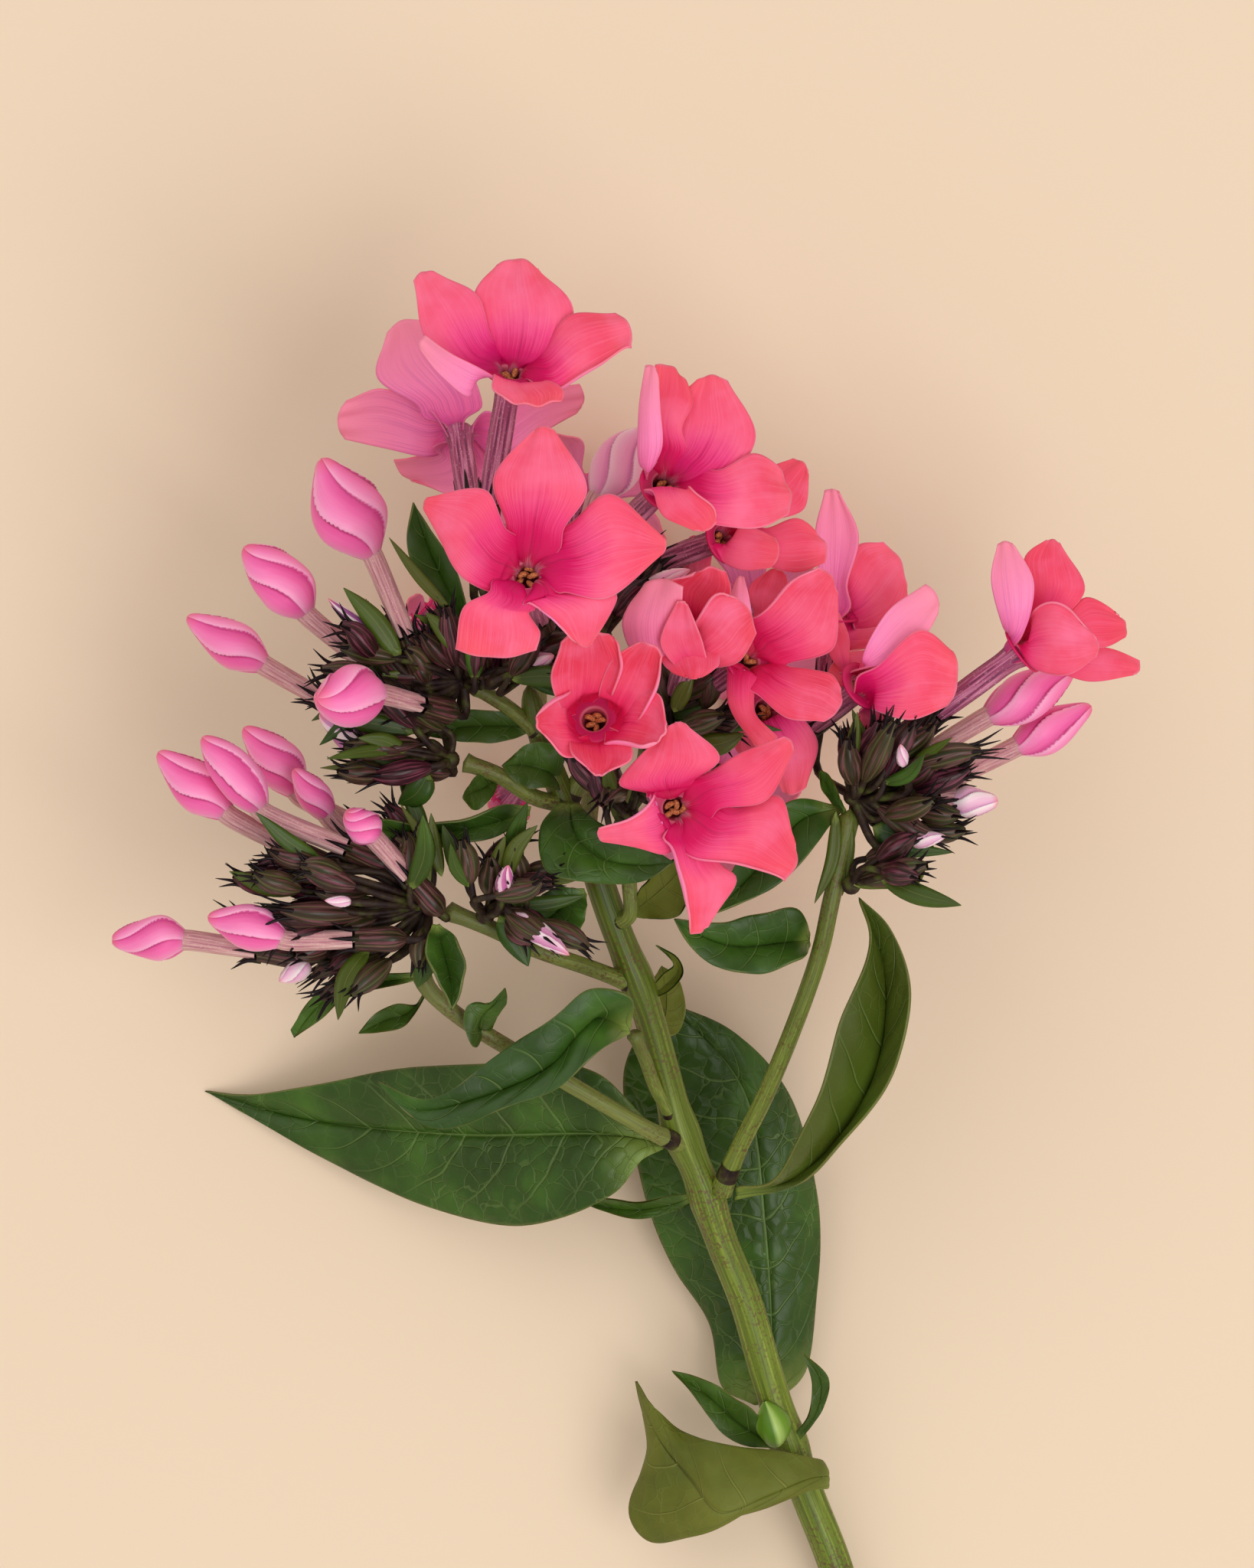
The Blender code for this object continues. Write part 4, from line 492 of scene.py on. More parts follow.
# Small leaves that grow from the stem and stay in its node
STEM_LEAVES = [
    Leaf("shoot_left",
         [(1010, 1892, 12), (960, 1884, 14), (925, 1850, 14), (905, 1820, 14), (877, 1790, 13)],
         [(1012, 1888, 12), (965, 1860, 12.5), (930, 1828, 13), (877, 1790, 13)],
         [(1014, 1876, 12), (985, 1845, 15), (955, 1822, 15), (915, 1800, 14), (877, 1790, 13)]),
    Leaf("shoot_right",
         [(1032, 1880, 12), (1055, 1850, 14), (1061, 1810, 15), (1050, 1768, 16)],
         [(1036, 1885, 12), (1066, 1845, 13.5), (1072, 1805, 14.5), (1050, 1768, 16)],
         [(1040, 1888, 12), (1076, 1838, 14), (1082, 1800, 15), (1050, 1768, 16)]),
    Leaf("shoot_edge_on",
         [(908, 1566, 21), (880, 1582, 19), (830, 1592, 18), (785, 1580, 17), (755, 1568, 16)],
         [(908, 1562, 21), (870, 1575, 18.5), (820, 1580, 17), (755, 1568, 16)],
         [(908, 1558, 21), (880, 1562, 20), (830, 1570, 19), (780, 1565, 18), (755, 1568, 16)]),
    Leaf("shoot_hook",
         [(846, 1308, 31), (875, 1292, 33), (892, 1272, 34), (885, 1252, 35), (856, 1234, 36)],
         [(848, 1304, 31), (872, 1284, 32), (886, 1268, 33), (880, 1252, 34.5), (856, 1234, 36)],
         [(846, 1298, 31), (866, 1272, 33), (880, 1262, 34), (874, 1250, 35), (856, 1234, 36)]),
    Leaf("shoot_lobed",
         [(632, 1350, 37), (618, 1368, 40), (606, 1330, 41), (612, 1312, 41), (636, 1312, 41),
          (660, 1290, 43)],
         [(636, 1348, 37), (624, 1340, 39), (630, 1326, 40), (645, 1312, 41), (660, 1290, 43)],
         [(640, 1350, 37), (646, 1336, 39), (650, 1326, 40), (662, 1308, 42), (660, 1290, 43)]),
    Leaf("shoot_small_left",
         [(560, 1292, 39.5), (530, 1338, 39), (505, 1347, 39), (468, 1350, 39)],
         [(560, 1288, 39.5), (535, 1322, 38), (505, 1332, 38), (468, 1350, 39)],
         [(558, 1284, 39.5), (545, 1312, 39), (515, 1312, 39), (490, 1325, 39), (468, 1350, 39)]),
    Leaf("shoot_curl_left",
         [(546, 1280, 41), (500, 1290, 40), (455, 1300, 38), (420, 1330, 36), (384, 1355, 34)],
         [(548, 1276, 41), (500, 1282, 39), (450, 1288, 37), (412, 1318, 35), (384, 1355, 34)],
         [(548, 1270, 41), (505, 1272, 40), (455, 1272, 38), (405, 1306, 36), (380, 1345, 34)]),
    Leaf("shoot_lobed_high",
         [(652, 1020, 42), (640, 1045, 44), (620, 1058, 45), (604, 1042, 46)],
         [(650, 1014, 42), (635, 1028, 43), (620, 1034, 44), (604, 1042, 46)],
         [(646, 1008, 42), (625, 1012, 44), (612, 1026, 45), (604, 1042, 46)]),
    Leaf("shoot_dark_high",
         [(696, 955, 41), (660, 968, 41.5), (620, 970, 41.5), (560, 962, 41)],
         [(696, 950, 41), (650, 948, 40.5), (600, 950, 40.5), (560, 962, 41)],
         [(698, 944, 41), (655, 930, 41.5), (600, 930, 41.5), (560, 962, 41)]),
    Leaf("shoot_dark_middle",
         [(735, 1035, 39), (720, 1030, 43), (680, 1026, 44), (655, 1000, 45)],
         [(732, 1026, 39), (715, 1008, 42), (690, 1000, 43), (655, 1000, 45)],
         [(728, 1015, 40), (735, 985, 43), (700, 968, 44), (655, 1000, 45)]),
    Leaf("shoot_right_node",
         [(1104, 1068, 44.2), (1088, 1050, 46), (1074, 1030, 46), (1070, 1006, 45.5)],
         [(1104, 1062, 44), (1088, 1042, 45), (1078, 1022, 45), (1070, 1006, 45.5)],
         [(1104, 1058, 43.8), (1092, 1030, 46), (1082, 1012, 46), (1070, 1006, 45.5)]),
    Leaf("shoot_under_star",
         [(826, 1198, 37), (850, 1200, 39), (885, 1196, 41), (905, 1160, 43), (902, 1115, 44)],
         [(826, 1192, 37), (855, 1170, 39), (882, 1145, 41), (902, 1115, 44)],
         [(824, 1184, 37), (838, 1160, 40), (865, 1130, 42), (902, 1115, 44)]),
]
# Flowers whose calyx is in plain view, with its awns spread
SHOWN_CALYCES = (
    "bud_top_left", "bud_left_high", "bud_left_middle", "bud_end_on", "bud_left_outer",
    "bud_left_inner", "bud_low_outer", "bud_low_inner", "bud_right_high", "bud_right_low",
    "bloom_far_right",
)
AXIL_BUD = ((1012, 1884, 12), (1010, 1862, 14), (999, 1830, 15))
# Where a petal's edge is rolled to its face: the side, from and to along it, the share of its half
# width that is rolled, and the turn in degrees
ROLLS = {
    ("bloom_star", 2): ("right", 0.25, 1.0, 0.28, 150),
    ("bloom_low_star", 2): ("right", 0.3, 1.0, 0.16, 140),
    ("bloom_low_star", 3): ("right", 0.12, 1.0, 0.4, 150),
    ("bloom_low_star", 4): ("right", 0.3, 1.0, 0.35, 150),
    ("bloom_side", 0): ("left", 0.3, 1.0, 0.14, 150),
    ("bloom_cup", 0): ("right", 0.4, 1.0, 0.25, 130),
    ("bloom_cup", 1): ("right", 0.3, 1.0, 0.3, 130),
    ("bloom_cup", 2): ("right", 0.3, 1.0, 0.35, 140),
    ("bloom_cup", 4): ("right", 0.5, 1.0, 0.3, 130),
    ("bloom_funnel", 0): ("left", 0.3, 0.98, 0.35, 150),
    ("bloom_funnel", 4): ("left", 0.3, 1.0, 0.3, 130),
    ("bloom_top", 2): ("right", 0.1, 1.0, 0.22, 140),
    ("bloom_half_open", 2): ("left", 0.3, 1.0, 0.3, 140),
    ("bloom_far_right", 2): ("left", 0.3, 1.0, 0.2, 130),
}
# Petals whose list goes round them as their back is seen
BACKS_IN_VIEW = {("bloom_right_low", 1), ("bloom_half_open", 4)}
# A bloom's tone: 0 is deep red coral, 0.5 coral, 1 lilac pink
# The low tones of bloom_cup and bloom_side are painted shade, for the shade inside their cups
BLOOM_TONES = {
    "bloom_top_back": 0.95, "bloom_top": 0.6, "bloom_cup": 0.1, "bloom_side": 0.18,
    "bloom_half_open": 0.15, "bloom_low_star": 0.4, "bloom_far_right": 0.35,
}
# A bud's paleness, and how far white and purple bands mark it
BUD_TONES = {"bud_pale_top": (0.6, 0.0), "bud_striped": (0.7, 0.65), "bud_right_pale": (1.0, 0.1)}
# How many side veins a large leaf has, and after the point how strongly its net of veins shows
LARGE_LEAVES = {
    "leaf_left_large": 9.6, "leaf_back_large": 9.8, "leaf_right_folded": 8.15,
    "leaf_left_front": 7.1, "leaf_low_folded": 7.3,
}
SMALL_LEAF_VEINS, STEM_LEAF_VEINS = 5.2, 4.2
# A leaf's tone: 0 is bluish deep green, 1 is olive with purple
LEAF_TONES = {"leaf_right_folded": 0.65, "leaf_left_front": 0.15}
BACK_TO_THE_EYE = ("leaf_low_folded",)
# The share of a leaf's length that a side vein climbs from the midrib to the edge
VEIN_SLOPE = 0.16
# Where the stem swells at its nodes, and by what share
NODE_SWELLS = (((942, 1560, 21), 0.25), ((890, 1480, 24), 0.25), ((836, 1275, 32), 0.2),
               ((1030, 1885, 10.5), 0.2))
# How grey and bare a branch is
BRANCH_TONES = {"right": 0.2, "left_low": 0.5, "petiole": 0.3}

# Each kind of piece lists its surfaces, and the names after it are their places in that list
BLOOM_SURFACES = ("petal_face_velvet", "petal_back_lilac_lined", "flower_tube_downy",
                  "throat_smooth_crimson", "anther_dusty_pollen")
FACE, TUBE, THROAT, ANTHER = 0, 2, 3, 4
BUD_SURFACES = ("bud_furled_satin", "flower_tube_downy")
BUD_LIMB, BUD_TUBE = range(2)
CALYX_SURFACES = ("calyx_papery_aubergine", "awn_horny_black", "pedicel_downy_purple",
                  "leaf_upper_waxy", "bud_furled_satin")
CALYX, AWN, STALK, BRACT, SMALL_BUD = range(5)
LEAF_SURFACES = ("leaf_upper_waxy", "leaf_under_matt")
LEAF_FRONT = 0
STEM_SURFACES = ("stem_waxy_speckled", "leaf_upper_waxy", "leaf_under_matt",
                 "side_bud_smooth_green", "pedicel_downy_purple")
STEM_SKIN, UPPER, UNDER, SIDE_BUD, MARK = range(5)

# Tufts of shut calyces and narrow leaflets: middle, spread, the way they point in degrees from the
# right, how widely they fan, and how many
TUFTS = {
    "cyme_left_high": [((535, 872, 46), (45, 22), 158, 30, 9),
                       ((592, 852, 47), (28, 22), 105, 30, 5),
                       ((645, 878, 47), (32, 14), 60, 55, 5),
                       ((520, 918, 44), (45, 18), 186, 18, 6)],
    "cyme_left_middle": [((520, 988, 46), (42, 22), 176, 18, 7),
                         ((560, 958, 45), (30, 18), 150, 22, 4)],
    "cyme_left_low": [((430, 1150, 46), (60, 26), 163, 20, 11),
                      ((440, 1212, 43), (60, 24), 188, 16, 9),
                      ((500, 1252, 41), (30, 18), 218, 20, 5),
                      ((545, 1128, 46), (22, 25), 112, 24, 4)],
    "cyme_left_small": [((650, 1152, 47), (40, 18), 70, 60, 6),
                        ((690, 1200, 46), (28, 18), -32, 28, 3)],
    "cyme_centre": [((890, 922, 46), (38, 22), 60, 45, 6), ((915, 958, 47), (30, 14), 10, 20, 5)],
    "cyme_top": [((672, 868, 49), (26, 12), 40, 50, 4)],
    "cyme_upper_right": [((822, 792, 51), (15, 20), 70, 30, 3)],
    "cyme_front": [((785, 1042, 51), (15, 14), 120, 30, 3)],
    "cyme_right": [((1140, 1002, 47), (26, 26), 60, 24, 8), ((1176, 1034, 43), (30, 16), 30, 16, 5),
                   ((1168, 1070, 44), (36, 14), 2, 16, 5), ((1110, 1000, 47), (12, 20), 96, 18, 3)],
    "cyme_right_low": [((1145, 1136, 47), (26, 16), 12, 24, 4)],
}
# Small flower buds in the clusters: foot, tip, radius, paleness and banding
SMALL_BUDS = {
    "cyme_upper_right": [((846, 764, 54), (902, 744, 56), 1.0, 1.0, 0.0)],
    "cyme_top": [((672, 872, 50), (724, 856, 53), 1.5, 1.0, 0.1)],
    "cyme_left_high": [((514, 836, 47), (464, 788, 48), 1.2, 0.35, 0.2),
                       ((508, 856, 47), (428, 781, 48.5), 1.1, 0.2, 1.0)],
    "cyme_left_low": [((404, 1258, 40), (364, 1282, 40), 1.4, 1.0, 0.0),
                      ((458, 1178, 49), (424, 1176, 50), 0.7, 1.0, 0.0)],
    "cyme_left_small": [((672, 1196, 47), (744, 1248, 49), 1.4, 0.7, 0.35),
                        ((656, 1166, 49), (664, 1130, 52), 1.1, 0.2, 0.6)],
    "cyme_right": [((1190, 1100, 46), (1236, 1092, 47), 1.0, 1.0, 0.1),
                   ((1180, 1000, 51), (1176, 972, 53), 0.8, 0.9, 0.0)],
}
# Narrow leaflets that stand clear of the clusters: base, tip, half width in millimetres, tone
BRACTS = {
    "cyme_left_low": [((560, 1160, 46), (523, 1050, 47), 0.8, 0.9),
                      ((577, 1145, 46), (563, 1062, 48), 1.0, 0.8),
                      ((605, 1150, 46), (578, 1078, 48), 1.5, 0.4),
                      ((560, 1230, 44), (545, 1290, 43), 1.6, 0.3)],
    "cyme_left_small": [((640, 1150, 47), (660, 1092, 49), 1.0, 0.9),
                        ((662, 1148, 48), (702, 1078, 50), 1.2, 0.8),
                        ((700, 1160, 47), (752, 1150, 48), 0.8, 0.9),
                        ((652, 1196, 45), (690, 1262, 45), 2.0, 0.2)],
    "cyme_left_middle": [((560, 990, 44), (418, 1003, 44), 0.9, 1.0),
                         ((560, 1010, 44), (520, 1050, 42), 1.9, 0.2)],
    "cyme_left_high": [((590, 800, 50), (508, 702, 51), 0.8, 0.9),
                       ((595, 850, 49), (556, 800, 50), 1.2, 0.7)],
    "cyme_right": [((1092, 1060, 45), (1064, 1180, 44), 1.0, 0.7),
                   ((1110, 1070, 45), (1100, 1170, 43), 1.1, 0.8),
                   ((1140, 1080, 44), (1222, 1112, 43), 2.6, 0.0),
                   ((1110, 1010, 50), (1120, 930, 53), 1.0, 0.9)],
    "cyme_right_low": [((1115, 1156, 46), (1190, 1160, 46), 1.0, 0.9),
                       ((1185, 1160, 46), (1209, 1133, 47), 0.6, 0.9)],
    "cyme_centre": [((900, 970, 49), (972, 958, 50), 1.6, 0.8),
                    ((880, 930, 50), (905, 880, 52), 1.2, 0.9)],
}
# Blooms under the head that are smaller than the others, and hide behind what is over them
UNDER_SIZES = {"bloom_under_low_left": 0.3, "bloom_under_left": 0.36}
# One of their petals: how far out each pair of edge points lies, its half width and its lift, in
# shares of the bloom's radius
UNDER_PETAL = ((0.38, 0.22, 0.02), (0.72, 0.36, 0.0), (0.96, 0.24, -0.1))
# An anther's curl in millimetres: along it, outwards and down
ANTHER_CURL = ((-0.6, -0.1, 0.5), (-0.2, 0.12, 0.1), (0.2, 0.1, 0), (0.55, -0.1, 0.2))


def srgb(code):
    """A hex colour as the linear red, green, blue and alpha that Blender works in."""
    values = [int(code[k : k + 2], 16) / 255 for k in (1, 3, 5)]
    linear = [v / 12.92 if v <= 0.04045 else ((v + 0.055) / 1.055) ** 2.4 for v in values]
    return (*linear, 1.0)


def colour(name):
    """One of the user's colours as red, green, blue and alpha."""
    return (*getattr(bpy.context.scene.phlox_colours, name), 1.0)


def add_node(tree, kind, inputs=(), stops=(), out=0, **settings):
    """Adds a node with its settings and gives one of its outputs.

    The inputs, in the node's own order or by name, each take a value, a hex colour or another
    node's output. The stops are a ramp's places and colours.
    """
    made = tree.nodes.new("ShaderNode" + kind)
    for name, value in settings.items():
        setattr(made, name, value)
    given = inputs if isinstance(inputs, dict) else dict(enumerate(inputs))
    for name, value in given.items():
        if isinstance(value, bpy.types.NodeSocket):
            tree.links.new(value, made.inputs[name])
        else:
            made.inputs[name].default_value = srgb(value) if isinstance(value, str) else value
    if stops:
        ramp = made.color_ramp
        while len(ramp.elements) < len(stops):
            ramp.elements.new(1.0)
        for element, (at, shade) in zip(ramp.elements, stops):
            element.position = at
            element.color = srgb(shade) if isinstance(shade, str) else shade
    return made.outputs[out]


def set_shader(tree, base, bump=None, **constants):
    """Links the shader's colour and bump, and sets the sockets that are the same all over."""
    shader = tree.nodes["Principled BSDF"]
    tree.links.new(base, shader.inputs["Base Color"])
    if bump:
        tree.links.new(bump, shader.inputs["Normal"])
    for name, value in constants.items():
        shader.inputs[name.replace("_", " ")].default_value = value


def start_material(name):
    """A new material's two tools: the first adds a node to it, the second sets its shader."""
    made = bpy.data.materials.new(name)
    made.use_nodes = True
    return partial(add_node, made.node_tree), partial(set_shader, made.node_tree)


def chart_of(add):
    """Where a point lies on its form, and the tone and count that it carries."""
    spot = add("UVMap", out="UV", uv_map="UVMap")
    x = add("SeparateXYZ", (spot,), out="X")
    tone, count = (add("Attribute", out="Fac", attribute_name=name) for name in ("tone", "count"))
    return Chart(spot, x, x.node.outputs["Y"], tone, count)


def off_middle(add, x):
    """How far a point lies from the middle of a run from 0 to 1."""
    off = add("Math", (x, 0.5), operation="SUBTRACT")
    return add("Math", (off,), operation="ABSOLUTE")


def folds(add, x, number):
    """Where a point lies across its fold or rib, 0 to 1, when that many go round the form."""
    turns = add("Math", (x, number), operation="MULTIPLY")
    return add("Math", (turns,), operation="FRACT")


def streaks(add, chart, across, along):
    """Lines that run from base to tip, with that many noise cells across the form and along it."""
    stretched = add("VectorMath", (chart.spot, (across, along, 1.0)), operation="MULTIPLY")
    shift = add("Math", (chart.tone, 37.0), operation="MULTIPLY")
    return add("TexNoise", {"Vector": stretched, "W": shift, "Scale": 1.0, "Detail": 2.0,
                            "Roughness": 0.6}, noise_dimensions="4D", out="Fac")


def blotches(add, size, detail=3.0):
    """Soft noise whose cells are that many millimetres wide on the plant."""
    spot = add("TexCoord", out="Object")
    return add("TexNoise", {"Vector": spot, "Scale": 1 / (size * MM), "Detail": detail,
                            "Roughness": 0.55}, out="Fac")


def make_petal_face():
    # A phlox petal is skin cells domed like velvet: soft light, no glare, a paler edge, fine lines
    add, finish = start_material("petal_face_velvet")
    chart = chart_of(add)
    line = streaks(add, chart, 60.0, 2.0)
    off = off_middle(add, chart.x)
    reach = add("Math", (off, 0.22, chart.y), operation="MULTIPLY_ADD")
    shaky = add("Math", (line, 0.26, -0.13), operation="MULTIPLY_ADD")
    reach = add("Math", (reach, shaky), operation="ADD")
    # Both ramps start near black at the petal's root, down in the tube: painted shade there
    coral = add("ValToRGB", (reach,), [
        (0.0, "#4A0818"), (0.1, "#B8687C"), (0.13, "#B00040"), (0.22, "#C20052"), (0.35, "#D2005C"),
        (0.49, "#EC3A7C"), (0.64, "#F8587C"), (0.82, colour("petal_coral")), (1.0, "#F45468")])
    lilac = add("ValToRGB", (reach,), [
        (0.0, "#4A0818"), (0.12, "#A0146A"), (0.3, "#CC2E92"), (0.55, "#EC68AE"), (0.8, "#F4709A"),
        (1.0, "#F46A88")])
    lilac_share = add("MapRange", (chart.tone, 0.55, 1.0))
    # Low tones mix in deep red: on the cup and side blooms, painted shade inside their cups
    red = add("MapRange", (chart.tone, 0.5, 0.0, 0.0, 0.55))
    # Veins a quarter of a millimetre wide, one down the middle and one each side, fade to the tip
    middle_vein = add("MapRange", (off, 0.004, 0.018, 1.0, 0.0), **SMOOTH)
    side_vein = add("Math", (off, 0.15), operation="SUBTRACT")
    side_vein = add("Math", (side_vein,), operation="ABSOLUTE")
    side_vein = add("MapRange", (side_vein, 0.003, 0.014, 0.6, 0.0), **SMOOTH)
    veins = add("Math", (middle_vein, side_vein), operation="MAXIMUM")
    fading = add("MapRange", (chart.y, 0.12, 0.62, 0.75, 0.0))
    veins = add("Math", (veins, fading), operation="MULTIPLY")
    # Paler pink clouds and lines on the outer half: its mottling and veins, and painted highlight
    outer = add("MapRange", (chart.y, 0.3, 0.7))
    fine = add("MapRange", (line, 0.45, 0.75, 0.0, 0.32))
    fine = add("Math", (fine, outer), operation="MULTIPLY")
    cloud = add("MapRange", (blotches(add, 6.0), 0.45, 0.75, 0.0, 0.6))
    cloud = add("Math", (cloud, outer), operation="MULTIPLY")
    # Its rim is the palest
    from_side = add("Math", (0.5, off), operation="SUBTRACT")
    from_tip = add("Math", (1.0, chart.y), operation="SUBTRACT")
    rim = add("Math", (from_side, from_tip), operation="MINIMUM")
    rim = add("MapRange", (rim, 0.0, 0.022, 0.4, 0.0))
    base = coral
    for share, shade in ((lilac_share, lilac), (red, "#DA1E40"), (veins, "#9C0A44"),
                         (fine, "#FF88B0"), (cloud, "#FC7EA6"), (rim, "#FFA4BE")):
        base = add("Mix", {0: share, 6: base, 7: shade}, **COLOURS)
    bump = add("Bump", {"Height": line, "Strength": 0.25, "Distance": 0.2 * MM})
    finish(base, bump, Roughness=0.55, IOR=1.4, Specular_IOR_Level=0.25, Sheen_Weight=0.06,
           Sheen_Roughness=0.35, Sheen_Tint=srgb("#FF90B8"), Subsurface_Weight=0.1,
           Subsurface_Scale=0.6 * MM, Subsurface_Radius=(1.0, 0.3, 0.3))


def make_petal_back():
    # The back is thinner in colour: lilac pink, with purple lines that leave the tube and fade
    add, finish = start_material("petal_back_lilac_lined")
    chart = chart_of(add)
    line = streaks(add, chart, 44.0, 1.4)
    base = add("ValToRGB", (chart.y,), [
        (0.0, "#C02478"), (0.2, "#F060A4"), (0.5, "#FE88BC"), (1.0, "#FE90AC")])
    purple = add("MapRange", (line, 0.5, 0.6))
    fading = add("MapRange", (chart.y, 0.2, 0.95, 0.45, 0.0))
    purple = add("Math", (purple, fading), operation="MULTIPLY")
    base = add("Mix", {0: purple, 6: base, 7: "#B0449A"}, **COLOURS)
    bump = add("Bump", {"Height": line, "Strength": 0.3, "Distance": 0.2 * MM})
    finish(base, bump, Roughness=0.5, IOR=1.4, Sheen_Weight=0.1, Sheen_Roughness=0.4,
           Subsurface_Weight=0.12, Subsurface_Scale=0.8 * MM, Subsurface_Radius=(1.0, 0.35, 0.3))


def make_flower_tube():
    # A flower tube is downy and lined: mauve with pale and dark lines along it
    add, finish = start_material("flower_tube_downy")
    chart = chart_of(add)
    line = streaks(add, chart, 26.0, 1.6)
    dark = add("ValToRGB", (line,), [(0.35, "#661848"), (0.5, "#9C3468"), (0.66, "#D078A4")])
    pale = add("ValToRGB", (line,), [(0.35, "#B87884"), (0.52, "#D4A4A0"), (0.68, "#ECD0C4")])
    down = add("MapRange", (blotches(add, 0.25, 1.0), 0.62, 0.72, 0.0, 0.3))
    base = dark
    for share, shade in ((chart.tone, pale), (down, "#F4D4DA")):
        base = add("Mix", {0: share, 6: base, 7: shade}, **COLOURS)
    bump = add("Bump", {"Height": line, "Strength": 0.5, "Distance": 0.2 * MM})
    finish(base, bump, Roughness=0.6, IOR=1.4, Sheen_Weight=0.08, Sheen_Roughness=0.5,
           Subsurface_Weight=0.1, Subsurface_Scale=0.6 * MM)


def make_throat():
    # The mouth's smooth lining is deep crimson, and the collar round it magenta
    add, finish = start_material("throat_smooth_crimson")
    # Far down the lining darkens to near black: painted shade deep in the tube
    base = add("ValToRGB", (chart_of(add).y,), [
        (0.0, "#5A0C18"), (0.45, "#84202E"), (0.66, "#A83A50"), (0.74, "#C05870"), (0.8, "#B00A4E"),
        (1.0, "#D0105E")])
    finish(base, Roughness=0.5, IOR=1.4)


def make_anther():
    # Anthers are dusty with pollen: matt orange brown
    add, finish = start_material("anther_dusty_pollen")
    grain = blotches(add, 0.18)
    base = add("ValToRGB", (grain,), [(0.3, "#7A3018"), (0.5, "#B05C34"), (0.7, "#D89058")])
    bump = add("Bump", {"Height": grain, "Strength": 0.5, "Distance": 0.1 * MM})
    finish(base, bump, Roughness=0.85)


def make_bud():
    # A bud's petals are furled, with painted highlight where each comes over the next
    add, finish = start_material("bud_furled_satin")
    chart = chart_of(add)
    line = streaks(add, chart, 40.0, 2.0)
    fold = folds(add, chart.x, 5.0)
    shaky = add("Math", (line, 0.3, -0.15), operation="MULTIPLY_ADD")
    inside = add("MapRange", (fold, 0.05, 0.3))
    shaky = add("Math", (shaky, inside), operation="MULTIPLY")
    fold = add("Math", (fold, shaky), operation="ADD")
    # Each ramp: dark ends are painted shade in the seam, the pale just past it painted highlight
    pink, pale, bands = (add("ValToRGB", (fold,), stops) for stops in (
        [(0.0, "#D2488E"), (0.05, "#FCACD2"), (0.25, "#F88EC2"), (0.6, "#F470B2"),
         (0.93, "#E6549E"), (1.0, "#C8387E")],
        [(0.0, "#D08CB4"), (0.08, "#FBECEC"), (0.4, "#FAD2E4"), (0.8, "#F6BADA"), (1.0, "#DC98C4")],
        [(0.0, "#7A3A70"), (0.12, "#F4ECE4"), (0.42, "#E8D0DA"), (0.5, "#A8609C"),
         (1.0, "#8E4A84")]))
    tip = add("MapRange", (chart.y, 0.86, 1.0, 0.0, 0.6))
    foot = add("MapRange", (chart.y, 0.0, 0.12, 0.6, 0.0))
    base = pink
    for share, shade in ((chart.tone, pale), (chart.count, bands), (tip, "#E86478"),
                         (foot, "#C89098")):
        base = add("Mix", {0: share, 6: base, 7: shade}, **COLOURS)
    bump = add("Bump", {"Height": line, "Strength": 0.3, "Distance": 0.2 * MM})
    finish(base, bump, Roughness=0.45, IOR=1.4, Sheen_Weight=0.12, Sheen_Roughness=0.4,
           Subsurface_Weight=0.15, Subsurface_Scale=0.8 * MM, Subsurface_Radius=(1.0, 0.35, 0.3))


def make_calyx():
    # A calyx is papery and dry: five dark aubergine ribs with pale green skin between them
    add, finish = start_material("calyx_papery_aubergine")
    chart = chart_of(add)
    line = streaks(add, chart, 22.0, 1.5)
    rib = off_middle(add, folds(add, chart.x, 5.0))
    dark = add("ValToRGB", (line,), [(0.35, "#16040C"), (0.5, "#3C0C20"), (0.64, "#783A50")])
    seam = add("MapRange", (rib, 0.12, 0.02, 0.0, 0.6), **SMOOTH)
    seam = add("Math", (seam, chart.tone), operation="MULTIPLY")
    green = add("Math", (chart.tone, 0.9), operation="MULTIPLY")
    base = dark
    for share, shade in ((seam, "#9CAC62"), (green, "#42561A")):
        base = add("Mix", {0: share, 6: base, 7: shade}, **COLOURS)
    bump = add("Bump", {"Height": line, "Strength": 0.4, "Distance": 0.2 * MM})
    finish(base, bump, Roughness=0.32, IOR=1.45, Specular_IOR_Level=0.4)

    # Awns are horny points, nearly black and a little shiny
    add, finish = start_material("awn_horny_black")
    base = add("ValToRGB", (chart_of(add).y,), [
        (0.0, "#2E3014"), (0.25, "#180A10"), (1.0, "#100608")])
    finish(base, Roughness=0.45, IOR=1.4, Specular_IOR_Level=0.3)

    # A flower's stalk is downy, green flushed with purple
    add, finish = start_material("pedicel_downy_purple")
    cloud = blotches(add, 2.0)
    base = add("ValToRGB", (cloud,), [(0.35, "#1C0C10"), (0.55, "#34261A"), (0.7, "#48501E")])
    finish(base, Roughness=0.55, IOR=1.4, Specular_IOR_Level=0.3)


